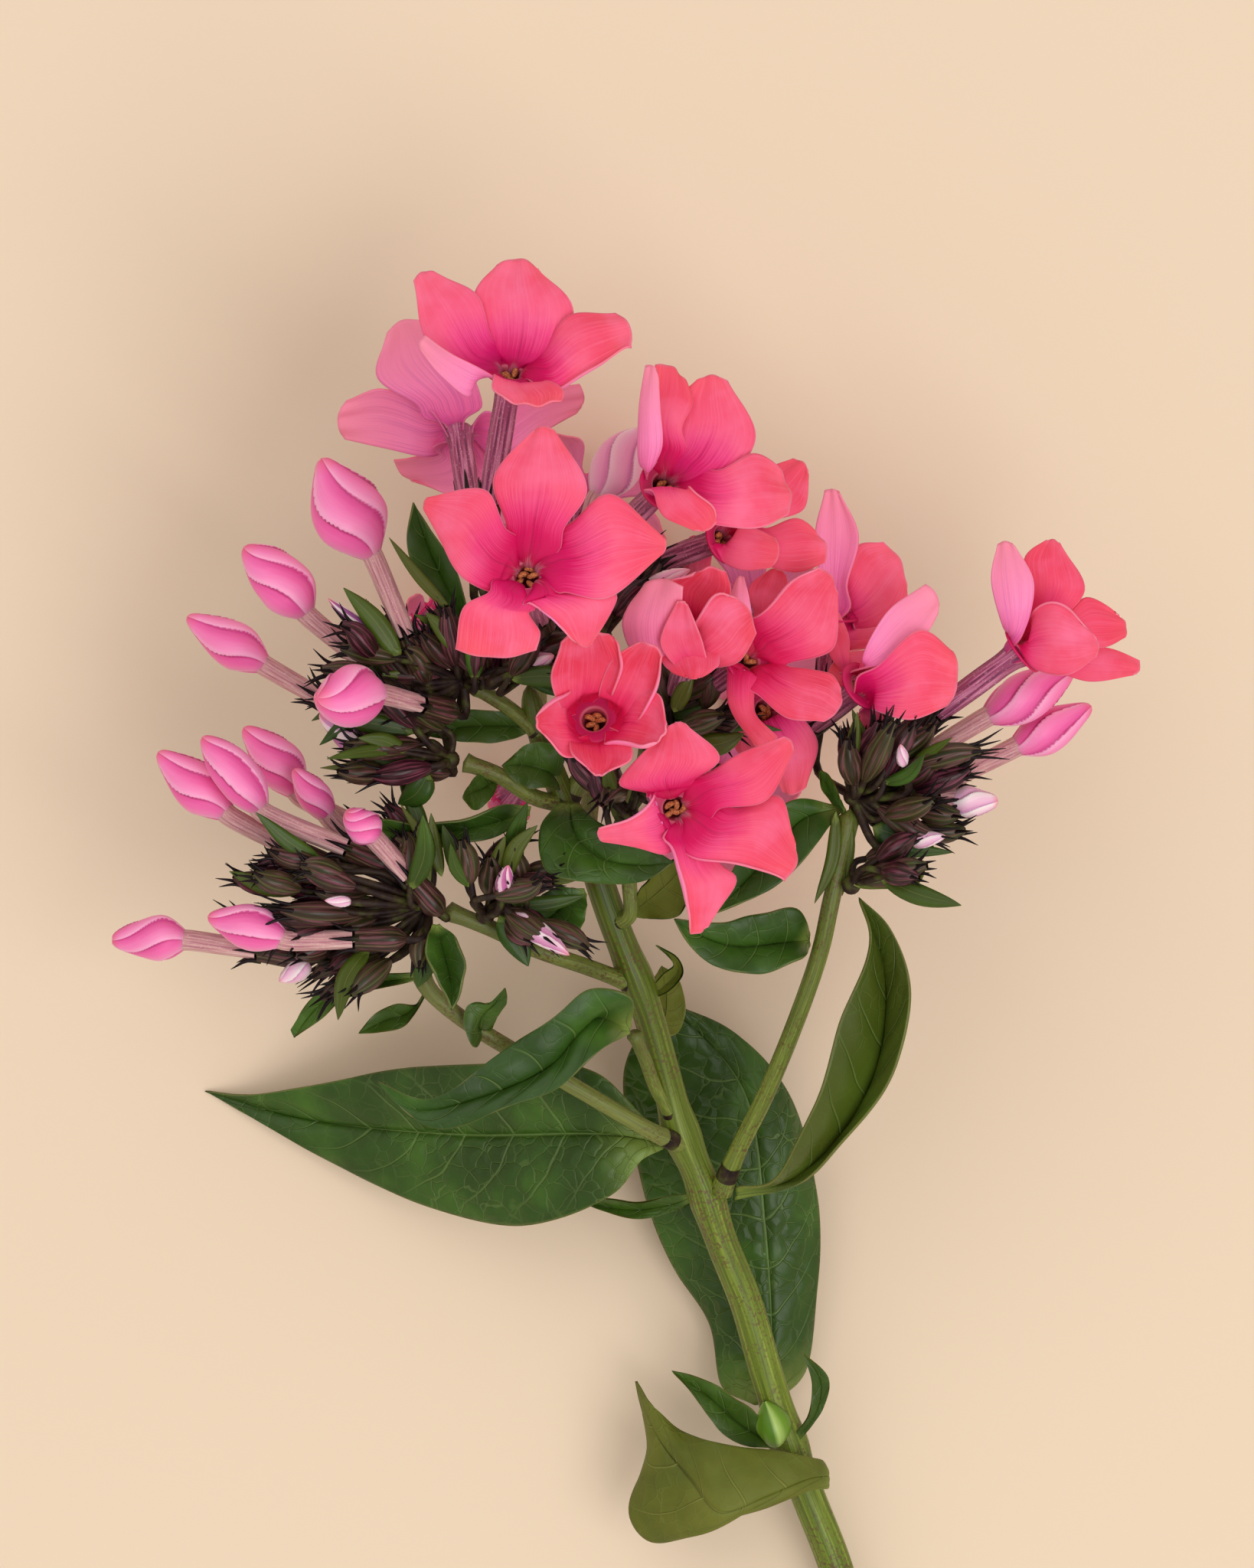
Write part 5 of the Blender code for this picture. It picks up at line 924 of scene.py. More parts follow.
def make_leaf_side(name, greens, olive, vein_colour, roughness, sunken):
    """One side of a leaf: the net of pale veins is sunken on the upper one and stands out below."""
    add, finish = start_material(name)
    chart = chart_of(add)
    off = off_middle(add, chart.x)
    half = add("Math", (off, 2.0), operation="MULTIPLY")
    # Side veins climb in an arc from the midrib, are spaced evenly along it and narrow to the edge
    climb = add("Math", (half, 1.3), operation="POWER")
    climb = add("Math", (climb, -VEIN_SLOPE, chart.y), operation="MULTIPLY_ADD")
    climb = add("Math", (blotches(add, 7.0, 1.0), 0.05, climb), operation="MULTIPLY_ADD")
    veins = add("Math", (chart.count,), operation="FLOOR")
    rank = add("Math", (climb, veins), operation="MULTIPLY")
    rank = add("Math", (rank, 1.0), operation="PINGPONG")
    rank = add("Math", (rank, 0.5, 0.0), operation="PINGPONG")
    side_vein = add("MapRange", (rank, 0.01, 0.045, 0.7, 0.0), **SMOOTH)
    narrowing = add("MapRange", (half, 0.55, 0.95, 1.0, 0.15))
    side_vein = add("Math", (side_vein, narrowing), operation="MULTIPLY")
    rib_width = add("MapRange", (chart.y, 0.0, 1.0, 0.03, 0.008))
    midrib = add("MapRange", (off, rib_width, 0.0, 0.0, 1.0), **SMOOTH)
    # The net of small veins has meshes about two and a half millimetres wide
    spot = add("TexCoord", out="Object")
    bent = add("TexNoise", {"Vector": spot, "Scale": 500.0, "Detail": 1.0}, out="Color")
    bent = add("VectorMath", (bent, (MM, MM, MM), spot), operation="MULTIPLY_ADD")
    mesh = add("TexVoronoi", {"Vector": bent, "Scale": 400.0}, out="Distance",
               feature="DISTANCE_TO_EDGE")
    net = add("MapRange", (mesh, 0.01, 0.05, 0.75, 0.0), **SMOOTH)
    patch = add("MapRange", (blotches(add, 14.0, 2.0), 0.4, 0.6, 0.15, 1.0))
    strength = add("Math", (chart.count,), operation="FRACT")
    patch = add("Math", (patch, strength), operation="MULTIPLY")
    net = add("Math", (net, patch), operation="MULTIPLY")
    veins = add("Math", (side_vein, net), operation="MAXIMUM")
    veins = add("Math", (veins, midrib), operation="MAXIMUM")
    vein_share = add("Math", (veins, 0.38), operation="MULTIPLY")
    stalk = add("MapRange", (chart.y, 0.0, 0.16, 0.7, 0.0), **SMOOTH)
    rim = add("MapRange", (half, 0.97, 1.0, 0.0, 0.4))
    base = add("ValToRGB", (blotches(add, 9.0),), greens)
    for share, shade in ((chart.tone, olive), (vein_share, vein_colour), (stalk, "#8A9C48"),
                         (rim, "#8A8A4A")):
        base = add("Mix", {0: share, 6: base, 7: shade}, **COLOURS)
    cells = add("Math", (mesh, 0.35), operation="MINIMUM")
    cells = add("Math", (cells, patch), operation="MULTIPLY")
    relief = add("Math", (veins, -0.25, cells), operation="MULTIPLY_ADD")
    bump = add("Bump", {"Height": relief, "Strength": 0.9, "Distance": 0.9 * MM}, invert=not sunken)
    bump = add("Bump", {"Height": blotches(add, 0.35, 1.0), "Strength": 0.12,
                        "Distance": 0.1 * MM, "Normal": bump})
    finish(base, bump, Roughness=roughness, IOR=1.45, Specular_IOR_Level=0.35,
           Subsurface_Weight=0.08, Subsurface_Scale=0.6 * MM)


def make_leaf():
    # The upper skin is waxy deep green over sunken pale veins. The underside is matt olive
    greens = [(0.3, "#143A0C"), (0.5, colour("leaf_green")), (0.7, "#3E6A1E")]
    make_leaf_side("leaf_upper_waxy", greens, "#545A18", "#86A058", 0.38, True)
    greens = [(0.3, "#46540E"), (0.5, colour("leaf_under")), (0.7, "#6A7226")]
    make_leaf_side("leaf_under_matt", greens, "#74702A", "#959A4C", 0.6, False)


def make_stem_skin():
    # The stem is ridged and waxy, yellow green, with fine brown specks along its ridges
    add, finish = start_material("stem_waxy_speckled")
    chart = chart_of(add)
    line = streaks(add, chart, 30.0, 8.0)
    base = add("ValToRGB", (line,), [
        (0.3, "#40560A"), (0.5, colour("stem_green")), (0.7, "#8C9C38")])
    height = add("MapRange", (chart.y, 0.35, 0.85, 0.0, 0.55))
    specks = add("MapRange", (blotches(add, 0.45, 2.0), 0.52, 0.6, 0.0, 0.85))
    where = add("MapRange", (blotches(add, 6.0, 2.0), 0.4, 0.6, 0.1, 1.0))
    specks = add("Math", (specks, where), operation="MULTIPLY")
    for share, shade in ((height, "#323E08"), (chart.tone, "#7C7C48"), (specks, "#5E4426")):
        base = add("Mix", {0: share, 6: base, 7: shade}, **COLOURS)
    bump = add("Bump", {"Height": line, "Strength": 0.4, "Distance": 0.3 * MM})
    finish(base, bump, Roughness=0.45, IOR=1.45, Subsurface_Weight=0.1, Subsurface_Scale=MM)

    # A side bud's scales are smooth and bright green, paler at their edges
    add, finish = start_material("side_bud_smooth_green")
    fold = folds(add, chart_of(add).x, 3.0)
    base = add("ValToRGB", (fold,), [
        (0.0, "#4C7414"), (0.12, "#A8C46C"), (0.4, "#6B9421"), (1.0, "#4C7414")])
    finish(base, Roughness=0.4, IOR=1.45, Subsurface_Weight=0.15, Subsurface_Scale=MM)


def place(x, y, height):
    """The true point, in metres, of what the eye sees at pixel (x, y) at that height."""
    step = PIXEL * (EYE_HEIGHT - height) / (EYE_HEIGHT - STEM_HEIGHT)
    right = (x - VIEW_X) * step + (VIEW_X - ORIGIN_X) * PIXEL
    up = (VIEW_Y - y) * step + (ORIGIN_Y - VIEW_Y) * PIXEL
    return np.array([right, up, height]) * MM


def places(spots, over=0.0):
    return [place(x, y, height + over) for x, y, height in spots]


def unit(vector):
    return vector / np.linalg.norm(vector)


def square_to(vector, direction):
    """The part of vector at right angles to direction, as a unit vector."""
    return unit(vector - np.dot(vector, direction) * direction)


def across_of(axis):
    """Two directions at right angles to axis and to each other."""
    guide = UP if abs(axis[2]) < 0.9 else np.array([1.0, 0.0, 0.0])
    side = square_to(guide, axis)
    return side, np.cross(axis, side)


def heading(degrees, tilt):
    """The way that a turn from the right of the view points, raised by tilt degrees."""
    turn, tilt = radians(degrees), radians(tilt)
    return np.array([cos(tilt) * cos(turn), cos(tilt) * sin(turn), sin(tilt)])


def five_ways(axis, dice, slack):
    """Five ways out from an axis, evenly round it but for up to slack radians."""
    side, other = across_of(axis)
    for k in range(5):
        turn = 2 * pi * k / 5 + dice.uniform(-slack, slack)
        yield cos(turn) * side + sin(turn) * other


def smooth_line(points, count):
    """count + 1 points, evenly spaced along a centripetal Catmull-Rom curve through the points."""
    points = np.array(points)
    held = np.vstack([2 * points[0] - points[1], points, 2 * points[-1] - points[-2]])
    fine = []
    for i in range(len(points) - 1):
        p = held[i : i + 4]
        knots = np.cumsum(np.sqrt(np.linalg.norm(np.diff(p, axis=0), axis=1)))
        knots = np.concatenate([[0], knots])
        for t in np.linspace(knots[1], knots[2], CURVE_STEPS, endpoint=False):
            level = p
            for spans in (((0, 1), (1, 2), (2, 3)), ((0, 2), (1, 3)), ((1, 2),)):
                level = [a + (b - a) * (t - knots[low]) / (knots[high] - knots[low])
                         for a, b, (low, high) in zip(level, level[1:], spans)]
            fine.append(level[0])
    fine = np.array(fine + [points[-1]])
    run = np.concatenate([[0], np.cumsum(np.linalg.norm(np.diff(fine, axis=0), axis=1))])
    wanted = np.linspace(0, run[-1], count + 1)
    return np.stack([np.interp(wanted, run, fine[:, k]) for k in range(3)], axis=1)


def ribbed(sides, *waves):
    """A factor for each point of a ring. A wave is its height, how many go round, and its shift."""
    around = np.linspace(0, 2 * pi, sides + 1)
    factor = 1
    for height, number, shift in waves:
        factor = factor + height * np.cos(number * around + shift)
    return factor


def rings(line, radii, sides):
    """A grid of rings round a line. A ring has one radius in millimetres, or one for each point."""
    line = np.asarray(line)
    ways = np.gradient(line, axis=0)
    angles = np.linspace(0, 2 * pi, sides + 1)
    side = across_of(unit(ways[0]))[0]
    rows = []
    for point, way, radius in zip(line, ways, radii):
        way = unit(way)
        side = square_to(side, way)
        other = np.cross(way, side)
        round_it = np.cos(angles)[:, None] * side + np.sin(angles)[:, None] * other
        rows.append(point + np.reshape(radius, (-1, 1)) * MM * round_it)
    return np.array(rows)


def blade_grid(left, middle, right, across, bow=0.0, tip_round=0.0):
    """Rows of across + 1 points from the left edge by the middle to the right edge of a blade."""
    along = len(left) - 1
    rows = []
    normal = UP
    for i in range(along + 1):
        u = i / along
        width = right[i] - left[i]
        if np.linalg.norm(width) > 0.5 * MM:
            forward = middle[min(i + 1, along)] - middle[max(i - 1, 0)]
            normal = unit(np.cross(width, forward))
            ahead = unit(np.cross(normal, width))
        lift = bow * MM * sin(pi * min(1.0, 0.15 + 0.85 * u)) * (u > 0)
        reach = min(tip_round * np.linalg.norm(width), TIP_REACH * MM) * u**4
        row = []
        for j in range(across + 1):
            v = 2 * j / across - 1
            edge = left[i] if v < 0 else right[i]
            point = middle[i] + abs(v) * (edge - middle[i])
            row.append(point + (1 - v * v) * (lift * normal + reach * ahead))
        rows.append(row)
    return np.array(rows)


def blade_chart(along, across):
    """How far each row of a blade lies from its base, 0 to 1, and each column from its midline."""
    return np.linspace(0, 1, along + 1)[:, None], np.linspace(-1, 1, across + 1)[None, :]


def row_widths(grid):
    """Each row's width in millimetres."""
    return np.linalg.norm(grid[:, -1] - grid[:, 0], axis=1)[:, None] / MM


def across_normals(grid):
    """The way each point of a grid faces. It stays still where the rows close to a point."""
    facing = np.cross(np.gradient(grid, axis=1), np.gradient(grid, axis=0))
    size = np.linalg.norm(facing, axis=2, keepdims=True)
    return facing / np.maximum(size, 1e-12)


def start_body():
    """An empty mesh with the UV map and the two values that the materials read at each point."""
    body = bmesh.new()
    body.loops.layers.uv.new("UVMap")
    body.verts.layers.float.new("tone")
    body.verts.layers.float.new("count")
    return body


def add_sheet(body, grid, surface, tone=0.5, count=0.0, wind=None, floor=0.0):
    """Adds a grid of points, whose rows go from base to tip, to the mesh.

    Its UV map runs from 0 to 1 across and along, and wind, one number for each row, shifts it round
    a closed form.
    """
    rows, columns = grid.shape[:2]
    low, high = np.array(CAD_BOX[0]) + EDGE_ROOM * MM, np.array(CAD_BOX[1]) - EDGE_ROOM * MM
    low[2] = floor * MM
    grid = np.clip(grid, low, high)
    first = len(body.faces)
    made = bmesh.ops.create_grid(body, x_segments=columns - 1, y_segments=rows - 1, size=1.0,
                                 calc_uvs=True)
    tones, counts = body.verts.layers.float["tone"], body.verts.layers.float["count"]
    for vertex, point in zip(made["verts"], grid.reshape(-1, 3)):
        vertex.co = point
        vertex[tones] = tone
        vertex[counts] = count
    chart = body.loops.layers.uv["UVMap"]
    body.faces.ensure_lookup_table()
    for face in body.faces[first:]:
        face.material_index = surface
        face.smooth = True
        if wind is not None:
            for loop in face.loops:
                loop[chart].uv.x += wind[round(loop[chart].uv.y * (rows - 1))]


def grow(node_name, body, surfaces, thickness=0.0):
    """Ends a piece: one object over its CAD node, with a thickness in metres if it is of sheets."""
    bmesh.ops.remove_doubles(body, verts=body.verts, dist=1e-7)
    data = bpy.data.meshes.new(node_name + "_fine")
    body.to_mesh(data)
    body.free()
    for surface in surfaces:
        data.materials.append(bpy.data.materials[surface])
    piece = bpy.data.objects.new(node_name + "_fine", data)
    bpy.context.scene.collection.objects.link(piece)
    if thickness:
        shell = piece.modifiers.new("Thickness", "SOLIDIFY")
        shell.thickness = thickness
        shell.offset = 0.0
        shell.material_offset = 1
        shell.material_offset_rim = 0
    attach(piece, "root")
    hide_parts(node_name)


def petal_grid(foot, throat, left, right, bow, cuts):
    """A petal that grows from the throat of a tube and spreads between its two edges."""
    along, across = cuts
    axis = unit(throat - foot)
    outwards = square_to(0.5 * (left[0] + right[0]) - throat, axis)
    side = np.cross(outwards, axis)
    root = throat - axis * ROOT_DEPTH * MM + outwards * ROOT_DEPTH * MM
    neck = throat + axis * PETAL_OVERLAP * MM + outwards * (MOUTH_RADIUS + NECK_OUT) * MM
    # The right edge stands a little higher, because it lies over the next petal
    edges = []
    for sign, outline in ((-1, left), (1, right)):
        sideways = sign * (side * NECK_HALF + axis * PETAL_OVERLAP) * MM
        shoulder = neck + 0.45 * (outline[0] - neck) + sideways * 1.4
        corner = root + sign * side * ROOT_HALF * MM
        edges.append(smooth_line([corner, neck + sideways, shoulder, *outline], along))
    left, right = edges
    return blade_grid(left, 0.5 * (left + right), right, across, bow, PETAL_TIP_ROUND)


def rolled(grid, side, start, stop, share, turn):
    """The grid with one side's edge rolled towards the face: from start to stop of its length, the
    outer share of its half width, through turn degrees."""
    along, across = grid.shape[0] - 1, grid.shape[1] - 1
    flip = slice(None) if side == "right" else slice(None, None, -1)
    points, facing = grid[:, flip].copy(), across_normals(grid)[:, flip]
    first = round(across * (1 - 0.5 * share))
    for i in range(along + 1):
        u = i / along
        if not start < u < stop:
            continue
        angle = radians(turn) * sin(pi * (u - start) / (stop - start)) ** 0.6
        hinge, out = points[i, first], points[i, -1] - points[i, first]
        length = np.linalg.norm(out)
        if angle < 0.05 or length < 0.05 * MM:
            continue
        out, normal = out / length, facing[i, first]
        radius = length / angle
        for j in range(first + 1, across + 1):
            bent = (j - first) / (across - first) * angle
            points[i, j] = hinge + radius * (out * sin(bent) + normal * (1 - cos(bent)))
    return points[:, flip]


def petal_sheet(foot, throat, left, right, bow, cuts, dice, roll=None):
    """A petal's grid with its midline crease, its wavy margin and, where it has one, its roll."""
    grid = petal_grid(foot, throat, left, right, bow, cuts)
    if roll:
        grid = rolled(grid, *roll)
    u, v = blade_chart(*cuts)
    fade = np.clip(row_widths(grid) / 8, 0, 1)
    waves = dice.uniform(1.3, 2.2) * u + dice.uniform(0, 1, 1)
    margin = np.abs(v) ** 3 * u**1.5 * np.sin(2 * pi * waves + v)
    tip = u**5 * np.sin(2 * pi * (dice.uniform(0.8, 1.3) * v + dice.uniform()))
    crease = -np.exp(-((v / 0.09) ** 2)) * (1 - u) ** 0.5
    pleats = 0.35 * np.sin(v * dice.uniform(9, 12) + dice.uniform(0, 6)) * (1 - u * u)
    ruffle = bpy.context.scene.phlox_sizes.petal_ruffle / MM
    lift = ruffle * (margin + tip) + 0.14 * crease + 0.1 * pleats
    return grid + (fade * lift * MM)[:, :, None] * across_normals(grid)


def add_tube(body, foot, throat):
    """A flower's slender tube, ridged along its veins, that widens under the petals."""
    axis = unit(throat - foot)
    spots = [foot + axis * SEAT_GAP * MM, foot + 0.72 * (throat - foot), throat - axis * 0.2 * MM]
    line = smooth_line(spots, 22)
    u = np.linspace(0, 1, len(line))
    start = TUBE_RADIUS * TUBE_SWELL
    flare = (MOUTH_RADIUS + RIM_WIDTH - start) * np.clip((u - 0.75) / 0.25, 0, 1) ** 2
    radii = start * (1 + 0.1 * np.sin(pi * u)) + flare
    ridges = ribbed(TUBE_SIDES, (0.035, 10, 0), (0.02, 15, 1))
    add_sheet(body, rings(line, radii[:, None] * ridges, TUBE_SIDES), TUBE, 0.1)


def add_eye(body, foot, throat, dice):
    """The deep lining of the mouth, the collar where the petals join and the five anthers in it."""
    axis = unit(throat - foot)
    heights = np.concatenate([np.linspace(-2.6, 0.0, 12), [0.06, 0.1, 0.14, 0.18]])
    lining = 1.68 * np.linspace(0.0, 1, 12) ** 0.4 + 0.01
    radii = np.concatenate([lining, [1.9, 2.4, 2.9, 3.3]])
    side, other = across_of(axis)
    around = np.linspace(0, 2 * pi, 25)
    spokes = np.cos(around)[:, None] * side + np.sin(around)[:, None] * other
    cup = [throat + (axis * h + spokes * r) * MM for h, r in zip(heights, radii)]
    add_sheet(body, np.array(cup)[:, ::-1], THROAT)
    for k in range(5):
        turn = 2 * pi * (k + dice.uniform(-0.15, 0.15)) / 5
        reach = dice.uniform(0.35, 1.15)
        lean = turn + dice.uniform(-0.6, 1.8)
        out = cos(turn) * side + sin(turn) * other
        along = cos(lean) * side + sin(lean) * other
        centre = throat + (out * reach - axis * dice.uniform(0.1, 0.9)) * MM
        curl = [centre + (along * a + out * b - axis * c) * MM for a, b, c in ANTHER_CURL]
        fat = ANTHER_RADIUS * np.sin(pi * np.linspace(0.04, 0.98, 10)) ** 0.5
        add_sheet(body, rings(smooth_line(curl, 9), fat, 8), ANTHER, dice.uniform())


def make_blooms(blooms):
    thickness = bpy.context.scene.phlox_sizes.petal_thickness
    for number, bloom in enumerate(blooms):
        dice = np.random.default_rng(SEEDS["bloom"] + number)
        foot, throat = place(*bloom.foot), place(*bloom.throat)
        body = start_body()
        add_tube(body, foot, throat)
        if throat[2] > foot[2]:
            add_eye(body, foot, throat, dice)
        for k, petal in enumerate(bloom.petals):
            left, right = (places(edge, bloom.throat[2]) for edge in (petal.left, petal.right))
            roll = ROLLS.get((bloom.name, k))
            sheet = petal_sheet(foot, throat, left, right, petal.bow, PETAL_CUTS, dice, roll)
            if (bloom.name, k) in BACKS_IN_VIEW:
                sheet = sheet[:, ::-1]
            tone = BLOOM_TONES.get(bloom.name, 0.5) + dice.uniform(-0.12, 0.12)
            add_sheet(body, sheet, FACE, tone)
        grow(bloom.name, body, BLOOM_SURFACES, thickness)


def under_petal_edges(foot, throat, turn, radius):
    """The two edges of one of five even petals that lie back against the table."""
    axis = unit(throat - foot)
    side, other = across_of(axis)
    forward = cos(turn) * side + sin(turn) * other
    across = np.cross(forward, axis)
    left, right = [], []
    for reach, half, lift in UNDER_PETAL:
        centre = throat + (forward * reach + axis * lift) * radius * MM
        left.append(centre - across * half * radius * MM)
        right.append(centre + across * half * radius * MM)
    return left, right


def make_under_blooms(under_blooms):
    thickness = bpy.context.scene.phlox_sizes.petal_thickness
    for number, (name, foot_spot, throat_spot, first_turn) in enumerate(under_blooms):
        dice = np.random.default_rng(SEEDS["under bloom"] + number)
        foot, throat = place(*foot_spot), place(*throat_spot)
        radius = UNDER_RADIUS * UNDER_SIZES.get(name, 1.0)
        body = start_body()
        add_tube(body, foot, throat)
        for k in range(5):
            edges = under_petal_edges(foot, throat, radians(first_turn + 72 * k), radius)
            sheet = petal_sheet(foot, throat, *edges, 0.5, UNDER_PETAL_CUTS, dice)
            add_sheet(body, sheet, FACE, 0.5 + dice.uniform(-0.05, 0.05), floor=LEAST_HEIGHT)
        grow(name, body, BLOOM_SURFACES, thickness)


def bud_radius(share, widest):
    """Radius in millimetres along a bud's folded limb, from its neck at 0 to its tip at 1."""
    if share < BUD_WIDEST:
        return TUBE_RADIUS + (widest - TUBE_RADIUS) * sin(0.5 * pi * share / BUD_WIDEST)
    taper = cos(0.5 * pi * (share - BUD_WIDEST) / (1 - BUD_WIDEST)) ** 0.85
    return BUD_TIP_RADIUS + (widest - BUD_TIP_RADIUS) * taper


def make_buds(buds):
    for number, bud in enumerate(buds):
        dice = np.random.default_rng(SEEDS["bud"] + number)
        foot, neck, tip = place(*bud.foot), place(*bud.neck), place(*bud.tip)
        axis, high = unit(neck - foot), unit(tip - neck)
        body = start_body()
        paleness, banding = BUD_TONES.get(bud.name, (0.0, 0.0))
        line = smooth_line([foot + axis * SEAT_GAP * MM, neck, neck + high * 0.8 * MM], 20)
        radii = TUBE_RADIUS * TUBE_SWELL * (0.9 + 0.1 * np.linspace(0, 1, len(line)))
        ridges = ribbed(BUD_TUBE_SIDES, (0.03, 8, 0))
        add_sheet(body, rings(line, radii[:, None] * ridges, BUD_TUBE_SIDES), BUD_TUBE, 0.85)

        # Five petals wind round each other, so each ring steps up at five seams that wind too
        share = np.linspace(0, 1, BUD_ROWS)
        wide = np.array([bud_radius(s, bud.radius) for s in share])
        wide[-6:] = np.linspace(1, 0.0, 6) ** 0.5 * wide[-6]
        wind = bud.twist * 1.2 * share**1.3 + 0.12 * np.sin(share * 6 + dice.uniform(0, 6))
        wind = wind / 5
        fold = (np.linspace(0, 1, BUD_SIDES + 1)[None, :] * 5 + 5 * wind[:, None]) % 1.0
        depth = SEAM_DEPTH * np.sin(pi * share) ** 0.6
        rough = 1 + 0.05 * np.sin(share * 8 + dice.uniform(0, 6))
        around = np.linspace(0, 2 * pi, BUD_SIDES + 1)[None, :]
        uneven = 1 + 0.05 * np.cos(2 * around + dice.uniform(0, 6))
        uneven = uneven + 0.04 * np.cos(3 * around + 4 * share[:, None])
        steps = (1 - fold) ** 2 + 0.5 * np.sin(pi * fold) - 0.6
        radii = (wide * rough)[:, None] * uneven * (0.97 + depth[:, None] * steps)
        bend = np.sin(pi * share)[:, None] * np.cross(high, UP)[None, :]
        limb = neck + share[:, None] * (tip - neck) + bend * dice.uniform(-0.5, 0.5) * MM
        furled = rings(limb, radii, BUD_SIDES)
        add_sheet(body, furled, BUD_LIMB, paleness, banding, wind=wind)
        grow(bud.name, body, BUD_SURFACES)


def add_awn(body, start, way, out, length, bend, radius=AWN_RADIUS):
    """One stiff pointed calyx tooth, thick at its base, that bends outwards."""
    line = smooth_line([start, start + (way * 0.45 + out * bend * 0.12) * length * MM,
                        start + (way * 0.95 + out * bend) * length * MM], 7)
    fat = radius * (1 - np.linspace(0, 1, 8)) ** 0.8 + AWN_TIP_RADIUS
    add_sheet(body, rings(line, fat, 5), AWN)


def add_calyx(body, base, mouth, spread, dice):
    """A narrow ribbed bell with five awns round its mouth."""
    axis = unit(mouth - base)
    share = np.linspace(0, 1, 16)
    foot = axis * CALYX_FOOT * MM
    line = base - foot + share[:, None] * (mouth - base + foot)
    swell = np.sin(0.5 * pi * np.clip(share / 0.35, 0.02, 1))
    swell = swell * (1 - 0.12 * np.clip((share - 0.5) * 2, 0, 1))
    radii = CALYX_RADIUS * swell[:, None] * ribbed(CALYX_SIDES, (0.08, 5, 0))
    add_sheet(body, rings(line, radii, CALYX_SIDES), CALYX, CALYX_TONE)
    for out in five_ways(axis, dice, 0.15):
        start = mouth + out * (CALYX_RADIUS - 0.28) * MM - axis * 0.5 * MM
        length = dice.uniform(*AWN_LENGTHS)
        add_awn(body, start, axis, out, length, spread * dice.uniform(0.5, 1.3))


def add_young(body, base, mouth, tip, dice, spread=0.25):
    """A shut calyx round a bud that hasn't shown yet, with its awns drawn together ahead of it."""
    axis = unit(mouth - base)
    line = smooth_line([base - axis * 0.5 * MM, base + 0.5 * (mouth - base), mouth,
                        mouth + 0.45 * (tip - mouth)], 13)
    swell = np.sin(pi * np.clip(np.linspace(0, 1, 14) * 0.93 + 0.03, 0, 1)) ** 0.7
    radii = YOUNG_RADIUS * swell[:, None] * ribbed(YOUNG_SIDES, (0.09, 5, 0))
    tone = CALYX_TONE + dice.uniform(-0.2, 0.2)
    add_sheet(body, rings(line, radii, YOUNG_SIDES), CALYX, tone)
    ahead = unit(tip - mouth)
    reach = np.linalg.norm(tip - mouth) / MM
    for out in five_ways(ahead, dice, 0.2):
        start = mouth + out * 0.75 * MM - ahead * 0.6 * MM
        length, bend = reach * dice.uniform(0.9, 1.15), spread * dice.uniform(0.0, 1.3)
        add_awn(body, start, ahead, out, length, bend, YOUNG_AWN_RADIUS)


def add_bract(body, base, tip, half, tone, dice):
    """A narrow pointed leaflet, keeled along its middle."""
    side = unit(np.cross(unit(tip - base), UP))
    sag = dice.uniform(-0.12, 0.12) * np.linalg.norm(tip - base)
    line = smooth_line([base, 0.5 * (base + tip) + side * sag, tip], 12)
    around = np.linspace(0, 2 * pi, STALK_SIDES + 1)
    flat = np.sqrt((0.22 * np.cos(around)) ** 2 + np.sin(around) ** 2)
    taper = np.clip(np.sin(pi * np.linspace(0, 1, 13) ** 0.8), 0.02, 1)[:, None] ** 0.8
    add_sheet(body, rings(line, half * taper * flat, STALK_SIDES), BRACT, tone, 1.0)


def add_small_bud(body, foot, tip, radius, paleness, banding, dice):
    """A furled bud that has just left its calyx."""
    share = np.linspace(0, 1, 22)
    wind = 0.2 * share + dice.uniform()
    fold = (np.linspace(0, 1, SMALL_BUD_SIDES + 1)[None, :] * 5 + 5 * wind[:, None]) % 1.0
    wide = radius * np.sin(pi * np.clip(share**0.8 * 0.9 + 0.1, 0, 1)) ** 0.7
    radii = np.clip(wide, 0.01, None)[:, None] * (1 + 0.12 * ((1 - fold) ** 2 - 0.4))
    furled = rings(foot + share[:, None] * (tip - foot), radii, SMALL_BUD_SIDES)
    add_sheet(body, furled, SMALL_BUD, paleness, banding, wind=wind)


def add_stalk(body, start, end, end_way, radius):
    """A stalk that leaves its start and comes to its end along end_way."""
    bend = end - end_way * 0.45 * np.linalg.norm(end - start)
    line = smooth_line([start, start + unit(bend - start) * 0.6 * MM, bend, end], 10)
    radii = np.linspace(radius, radius * 0.85, 11)[:, None] * ribbed(STALK_SIDES, (0.06, 4, 0))
    add_sheet(body, rings(line, radii, STALK_SIDES), STALK, CALYX_TONE)


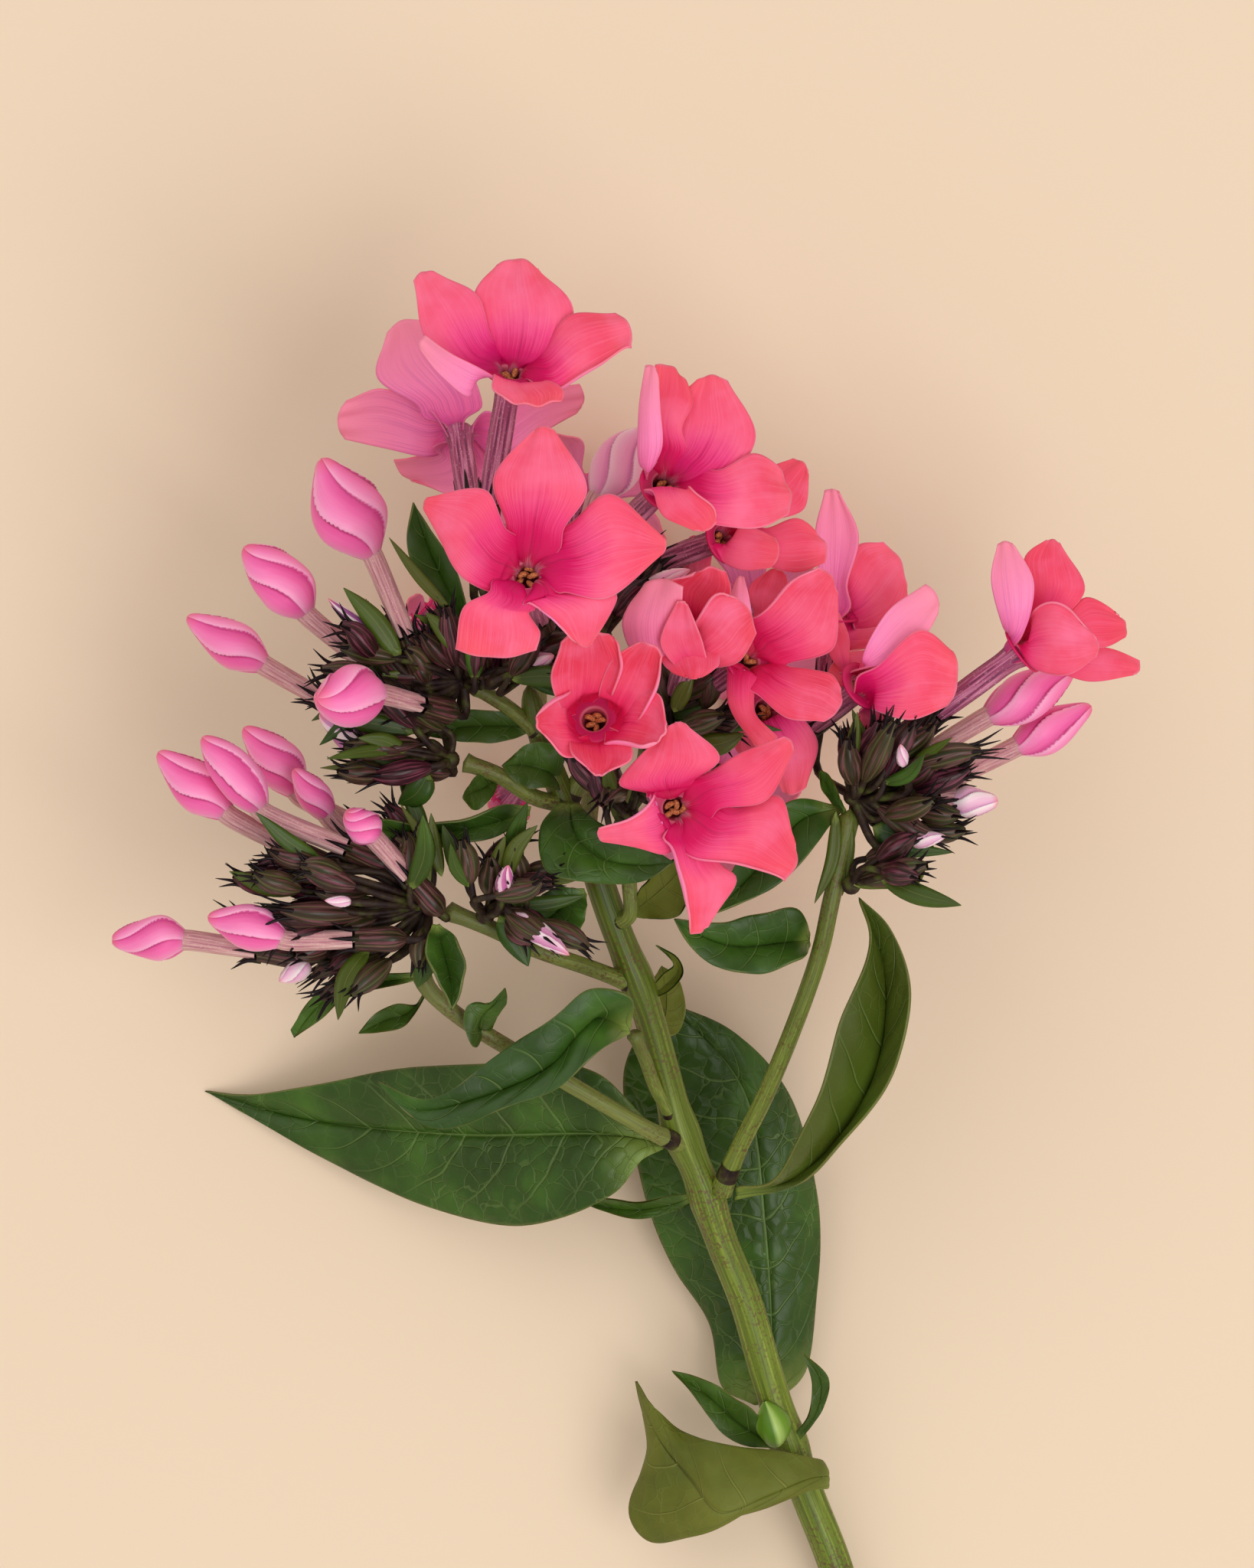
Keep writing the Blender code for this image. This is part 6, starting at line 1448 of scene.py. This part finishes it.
def add_tuft(body, hub, tuft, dice):
    """Shut calyces on their stalks, fanned round one way, with a leaflet by every third."""
    middle, spread, turn, fan, number = tuft
    for k in range(number):
        x, y = (middle[i] + spread[i] * dice.uniform(-1, 1) for i in (0, 1))
        base = place(x, y, middle[2] + dice.uniform(-4, 3))
        way = heading(turn + fan * dice.uniform(-1, 1), dice.uniform(-12, 35))
        size = dice.uniform(0.75, 1.15)
        mouth = base + way * YOUNG_LENGTH * size * MM
        bent = unit(way + heading(turn + 60 * dice.uniform(-1, 1), 20) * 0.35)
        tip = mouth + bent * dice.uniform(*YOUNG_TIPS) * size * MM
        add_young(body, base, mouth, tip, dice, 0.4)
        add_stalk(body, hub, base, way, PEDICEL_RADIUS * 0.8)
        if k % 3 == 0:
            start = base - way * 1.0 * MM
            away = heading(turn + 1.6 * fan * dice.uniform(-1, 1), dice.uniform(-10, 40))
            end = start + away * dice.uniform(*BRACT_LENGTHS) * MM
            add_bract(body, start, end, dice.uniform(0.7, 1.5), dice.uniform(0.1, 0.8), dice)


def flower_feet():
    """Each flower's name, with the foot of its tube and the way the tube points."""
    flowers = [(bloom.name, bloom.foot, bloom.throat) for bloom in BLOOMS]
    flowers += [(bud.name, bud.foot, bud.neck) for bud in BUDS]
    flowers += [(name, foot, throat) for name, foot, throat, _ in UNDER_BLOOMS]
    return {name: (place(*foot), unit(place(*ahead) - place(*foot)))
            for name, foot, ahead in flowers}


def make_cymes(cymes):
    feet = flower_feet()
    for number, cyme in enumerate(cymes):
        dice = np.random.default_rng(SEEDS["cyme"] + number)
        hub = place(*cyme.hub)
        body = start_body()
        knot = hub + np.linspace(-HUB_RADIUS, HUB_RADIUS, 12)[:, None] * UP * MM
        radii = HUB_RADIUS * np.sqrt(np.clip(1 - np.linspace(-1, 1, 12) ** 2, 0, 1)) + POINT
        add_sheet(body, rings(knot, radii, HUB_SIDES), STALK, CALYX_TONE)
        for name in cyme.flowers:
            mouth, axis = feet[name]
            base = mouth - axis * CALYX_LENGTH * MM
            spread = AWN_SPREAD if name in SHOWN_CALYCES else HIDDEN_AWN_SPREAD
            add_calyx(body, base, mouth, spread, dice)
            add_stalk(body, hub, base + axis * 0.3 * MM, axis, PEDICEL_RADIUS)
        for base, mouth, tip in (places(young) for young in cyme.young):
            add_young(body, base, mouth, tip, dice)
            add_stalk(body, hub, base, unit(mouth - base), PEDICEL_RADIUS * 0.9)
        for tuft in TUFTS.get(cyme.name, ()):
            add_tuft(body, hub, tuft, dice)
        for foot, tip, radius, paleness, banding in SMALL_BUDS.get(cyme.name, ()):
            foot, tip = place(*foot), place(*tip)
            add_small_bud(body, foot, tip, radius, paleness, banding, dice)
            add_stalk(body, hub, foot, unit(tip - foot), PEDICEL_RADIUS)
        for base, tip, half, tone in BRACTS.get(cyme.name, ()):
            add_bract(body, place(*base), place(*tip), half, tone, dice)
        grow(cyme.name, body, CALYX_SURFACES)


def leaf_sheet(leaf, cuts, dice, veins):
    """A leaf's grid: arched beside a sunken midrib, puckered between veins, wavy at its edge."""
    along, across = cuts
    edges = [smooth_line(places(side), along) for side in (leaf.left, leaf.middle, leaf.right)]
    grid = blade_grid(*edges, across)
    u, v = blade_chart(*cuts)
    span = row_widths(grid)
    fade = np.clip(span / 12, 0, 1)
    rank = (u - VEIN_SLOPE * np.abs(v) ** 1.3) * int(veins)
    pucker = (0.5 - 0.5 * np.cos(2 * pi * rank)) * np.abs(v) ** 0.6 * (1 - np.abs(v) ** 3)
    arch = 0.04 * span * 4 * np.abs(v) * (1 - np.abs(v))
    groove = -0.3 * np.exp(-((v / 0.05) ** 2))
    waves = u * dice.uniform(2.0, 3.4) + np.sign(v) * 0.2 + dice.uniform()
    edge = v**4 * 0.5 * np.sin(2 * pi * waves)
    swell = bpy.context.scene.phlox_sizes.leaf_pucker / MM
    lift = fade * (swell * pucker + groove + edge) + arch * (span > 3)
    return grid + (lift * MM)[:, :, None] * across_normals(grid)


def make_leaves(leaves):
    thickness = bpy.context.scene.phlox_sizes.leaf_thickness
    for number, leaf in enumerate(leaves):
        dice = np.random.default_rng(SEEDS["leaf"] + number)
        cuts = LARGE_LEAF_CUTS if leaf.name in LARGE_LEAVES else LEAF_CUTS
        veins = LARGE_LEAVES.get(leaf.name, SMALL_LEAF_VEINS)
        body = start_body()
        sheet = leaf_sheet(leaf, cuts, dice, veins)
        tone = LEAF_TONES.get(leaf.name, 0.2)
        add_sheet(body, sheet, LEAF_FRONT, tone, veins, floor=LEAST_HEIGHT)
        surfaces = LEAF_SURFACES[::-1] if leaf.name in BACK_TO_THE_EYE else LEAF_SURFACES
        grow(leaf.name, body, surfaces, thickness)


def add_main_stem(body):
    """The stem, ridged along its length and swollen at its nodes, closed at the cut and the top."""
    line = smooth_line(places(STEM), 150)
    run = np.linspace(0, 1, len(line))
    radii = np.interp(run, np.linspace(0, 1, len(STEM_RADII)), STEM_RADII)
    radii[0] = POINT
    radii[-4:] *= np.array([0.98, 0.85, 0.6, POINT])
    line[0] = line[1] - 0.02 * (line[1] - line[0])
    for node_spot, swell in NODE_SWELLS:
        away = np.linalg.norm(line - place(*node_spot), axis=1) / MM
        radii = radii * (1 + swell * np.exp(-((away / 3.0) ** 2)))
    ridges = ribbed(STEM_SIDES, (0.04, 4, 0.6), (0.015, 11, 0))
    add_sheet(body, rings(line, radii[:, None] * ridges, STEM_SIDES), STEM_SKIN, 0.0)


def add_branch(body, name, spots, radius):
    """A branch that swells at both ends, with a dark mark where it leaves the stem."""
    line = smooth_line(places(spots), 50)
    step = np.arange(51)
    foot, head = np.exp(-((step / 5.0) ** 2)), np.exp(-(((50 - step) / 3) ** 2))
    radii = radius * (1 + 0.35 * foot + 0.25 * head)
    radii[0], radii[-1] = POINT, POINT
    ridges = ribbed(BRANCH_SIDES, (0.05, 4, 0))
    skin = rings(line, radii[:, None] * ridges, BRANCH_SIDES)
    add_sheet(body, skin, STEM_SKIN, BRANCH_TONES.get(name, 0.4))
    mark = slice(3, 6)
    add_sheet(body, rings(line[mark], radii[mark] * 1.05, BRANCH_SIDES), MARK)


def make_stem():
    body = start_body()
    add_main_stem(body)
    for name, (spots, radius) in BRANCHES.items():
        add_branch(body, name, spots, radius)
    for number, leaf in enumerate(STEM_LEAVES):
        dice = np.random.default_rng(SEEDS["stem leaf"] + number)
        sheet = leaf_sheet(leaf, STEM_LEAF_CUTS, dice, STEM_LEAF_VEINS)
        skin = STEM_LEAF_HALF * MM * across_normals(sheet)
        add_sheet(body, sheet + skin, UPPER, 0.3, STEM_LEAF_VEINS)
        add_sheet(body, (sheet - skin)[:, ::-1], UNDER, 0.3, STEM_LEAF_VEINS)
    line = smooth_line(places(AXIL_BUD), 20)
    swell = np.sin(pi * np.clip(np.linspace(0, 1, 21) ** 0.8, 0.01, 0.99)) ** 0.7
    radii = AXIL_BUD_RADIUS * swell[:, None] * ribbed(AXIL_BUD_SIDES, (0.12, 3, 0))
    add_sheet(body, rings(line, radii, AXIL_BUD_SIDES), SIDE_BUD)
    grow("stem", body, STEM_SURFACES)


def make_table():
    # Seamless background paper: matt, its tooth too fine to see, its tone faintly uneven
    add, finish = start_material("table_matt_paper")
    plain = colour("floor")
    pale = tuple(min(1.0, c * 1.04) for c in plain[:3]) + (1.0,)
    base = add("Mix", {0: blotches(add, 400.0, 2.0), 6: plain, 7: pale}, **COLOURS)
    tooth = blotches(add, 0.6, 1.0)
    bump = add("Bump", {"Height": tooth, "Strength": 0.05, "Distance": 0.1 * MM})
    finish(base, bump, Roughness=0.9, Specular_IOR_Level=0.2)

    body = bmesh.new()
    bmesh.ops.create_grid(body, x_segments=8, y_segments=8, size=TABLE_HALF)
    data = bpy.data.meshes.new("table")
    body.to_mesh(data)
    body.free()
    data.materials.append(bpy.data.materials["table_matt_paper"])
    table = bpy.data.objects.new("table", data)
    table.location = (0, 0, -0.2 * MM)
    bpy.context.scene.collection.objects.link(table)


def make_lights():
    """A pale room, a large soft window and a larger, weaker reflector across from it."""
    scene = bpy.context.scene
    world = bpy.data.worlds.new("pale_room")
    world.use_nodes = True
    air = world.node_tree.nodes["Background"].inputs
    air["Color"].default_value = srgb("#FFFAF2")
    air["Strength"].default_value = 0.6
    scene.world = world
    for name, spot, size, share in LIGHTS:
        light = bpy.data.lights.new(name, "AREA")
        light.shape = "SQUARE"
        light.size = size
        light.energy = scene.phlox_sizes.light_power * share
        lamp = bpy.data.objects.new(name, light)
        lamp.location = spot
        aim = Vector(LIGHT_AIM) - Vector(spot)
        lamp.rotation_euler = aim.to_track_quat("-Z", "Y").to_euler()
        scene.collection.objects.link(lamp)


def make_eye():
    """The camera, straight above the stem."""
    scene = bpy.context.scene
    eye = bpy.data.cameras.new("eye")
    eye.sensor_fit = "VERTICAL"
    eye.sensor_height = SENSOR
    eye.lens = SENSOR * (EYE_HEIGHT - STEM_HEIGHT) / (PIXEL * VIEW_ROWS)
    eye.clip_start = 0.05
    viewer = bpy.data.objects.new("eye", eye)
    right, up = (VIEW_X - ORIGIN_X) * PIXEL, (ORIGIN_Y - VIEW_Y) * PIXEL
    viewer.location = (right * MM, up * MM, EYE_HEIGHT * MM)
    scene.collection.objects.link(viewer)
    scene.camera = viewer


class PhloxSizes(bpy.types.PropertyGroup):
    """The sizes that a user can change"""

    petal_thickness: FloatProperty(
        name="Petal thickness", description="Thickness of a petal", default=0.25 * MM,
        unit="LENGTH")
    petal_ruffle: FloatProperty(
        name="Petal ruffle", description="Height of the waves at a petal's edge",
        default=0.3 * MM, unit="LENGTH")
    leaf_thickness: FloatProperty(
        name="Leaf thickness", description="Thickness of a leaf", default=0.35 * MM, unit="LENGTH")
    leaf_pucker: FloatProperty(
        name="Leaf pucker", description="How far a leaf swells between its side veins",
        default=0.4 * MM, unit="LENGTH")
    light_power: FloatProperty(
        name="Light", description="Power that the two soft lights over the table take shares of",
        default=66.0, unit="POWER")


class PhloxColours(bpy.types.PropertyGroup):
    """The colours that a user can change"""

    petal_coral: FloatVectorProperty(
        name="Petal", description="Coral of a petal's outer half", default=srgb("#F24C6C")[:3],
        subtype="COLOR")
    leaf_green: FloatVectorProperty(
        name="Leaf", description="Green of a leaf's upper side", default=srgb("#244C14")[:3],
        subtype="COLOR")
    leaf_under: FloatVectorProperty(
        name="Leaf underside", description="Olive of a leaf's underside",
        default=srgb("#5A6416")[:3], subtype="COLOR")
    stem_green: FloatVectorProperty(
        name="Stem", description="Yellow green of the stem", default=srgb("#66781A")[:3],
        subtype="COLOR")
    floor: FloatVectorProperty(
        name="Table", description="Beige of the table that the stem lies on",
        default=srgb("#E9D3BA")[:3], subtype="COLOR")


class PHLOX_OT_materials(bpy.types.Operator):
    """Makes the materials of the petals, buds, calyces, leaves and stem"""

    bl_idname = "phlox.materials"
    bl_label = "Make the materials"

    def execute(self, context):
        make_petal_face()
        make_petal_back()
        make_flower_tube()
        make_throat()
        make_anther()
        make_bud()
        make_calyx()
        make_leaf()
        make_stem_skin()
        return {"FINISHED"}


class PHLOX_OT_stem(bpy.types.Operator):
    """Grows the ridged stem with its branches, small leaves and side bud"""

    bl_idname = "phlox.stem"
    bl_label = "Grow the stem"

    def execute(self, context):
        make_stem()
        return {"FINISHED"}


class PHLOX_OT_leaves(bpy.types.Operator):
    """Grows the leaves with their veins and puckers"""

    bl_idname = "phlox.leaves"
    bl_label = "Grow the leaves"

    def execute(self, context):
        make_leaves(LEAVES)
        return {"FINISHED"}


class PHLOX_OT_cymes(bpy.types.Operator):
    """Grows the clusters of stalks and calyces that carry the flowers"""

    bl_idname = "phlox.cymes"
    bl_label = "Grow the calyx clusters"

    def execute(self, context):
        make_cymes(CYMES)
        return {"FINISHED"}


class PHLOX_OT_buds(bpy.types.Operator):
    """Grows the furled buds on their tubes"""

    bl_idname = "phlox.buds"
    bl_label = "Grow the buds"

    def execute(self, context):
        make_buds(BUDS)
        return {"FINISHED"}


class PHLOX_OT_blooms(bpy.types.Operator):
    """Grows the open flowers, and those under the head that it rests on"""

    bl_idname = "phlox.blooms"
    bl_label = "Grow the flowers"

    def execute(self, context):
        make_blooms(BLOOMS)
        make_under_blooms(UNDER_BLOOMS)
        return {"FINISHED"}


class PHLOX_OT_stage(bpy.types.Operator):
    """Lays the beige table and sets the soft lights and the camera over the stem"""

    bl_idname = "phlox.stage"
    bl_label = "Set the stage"

    def execute(self, context):
        bpy.context.scene.view_settings.view_transform = "Standard"
        make_table()
        make_lights()
        make_eye()
        return {"FINISHED"}


class PHLOX_PT_panel(bpy.types.Panel):
    """The phlox's sizes, colours and pieces"""

    bl_idname = "PHLOX_PT_panel"
    bl_label = "Garden Phlox"
    bl_space_type = "VIEW_3D"
    bl_region_type = "UI"
    bl_category = "Phlox"

    def draw(self, context):
        for group in (context.scene.phlox_sizes, context.scene.phlox_colours):
            for name in group.__annotations__:
                self.layout.prop(group, name)
        for step in STEPS:
            self.layout.operator(step.bl_idname)


STEPS = (PHLOX_OT_materials, PHLOX_OT_stem, PHLOX_OT_leaves, PHLOX_OT_cymes, PHLOX_OT_buds,
         PHLOX_OT_blooms, PHLOX_OT_stage)
CLASSES = (PhloxSizes, PhloxColours, *STEPS, PHLOX_PT_panel)


def register():
    for kind in CLASSES:
        bpy.utils.register_class(kind)
    bpy.types.Scene.phlox_sizes = PointerProperty(type=PhloxSizes)
    bpy.types.Scene.phlox_colours = PointerProperty(type=PhloxColours)


def unregister():
    del bpy.types.Scene.phlox_colours
    del bpy.types.Scene.phlox_sizes
    for kind in reversed(CLASSES):
        bpy.utils.unregister_class(kind)


def main():
    register()
    bpy.ops.phlox.materials()
    bpy.ops.phlox.stem()
    bpy.ops.phlox.leaves()
    bpy.ops.phlox.cymes()
    bpy.ops.phlox.buds()
    bpy.ops.phlox.blooms()
    bpy.ops.phlox.stage()


if __name__ == "__main__":
    main()
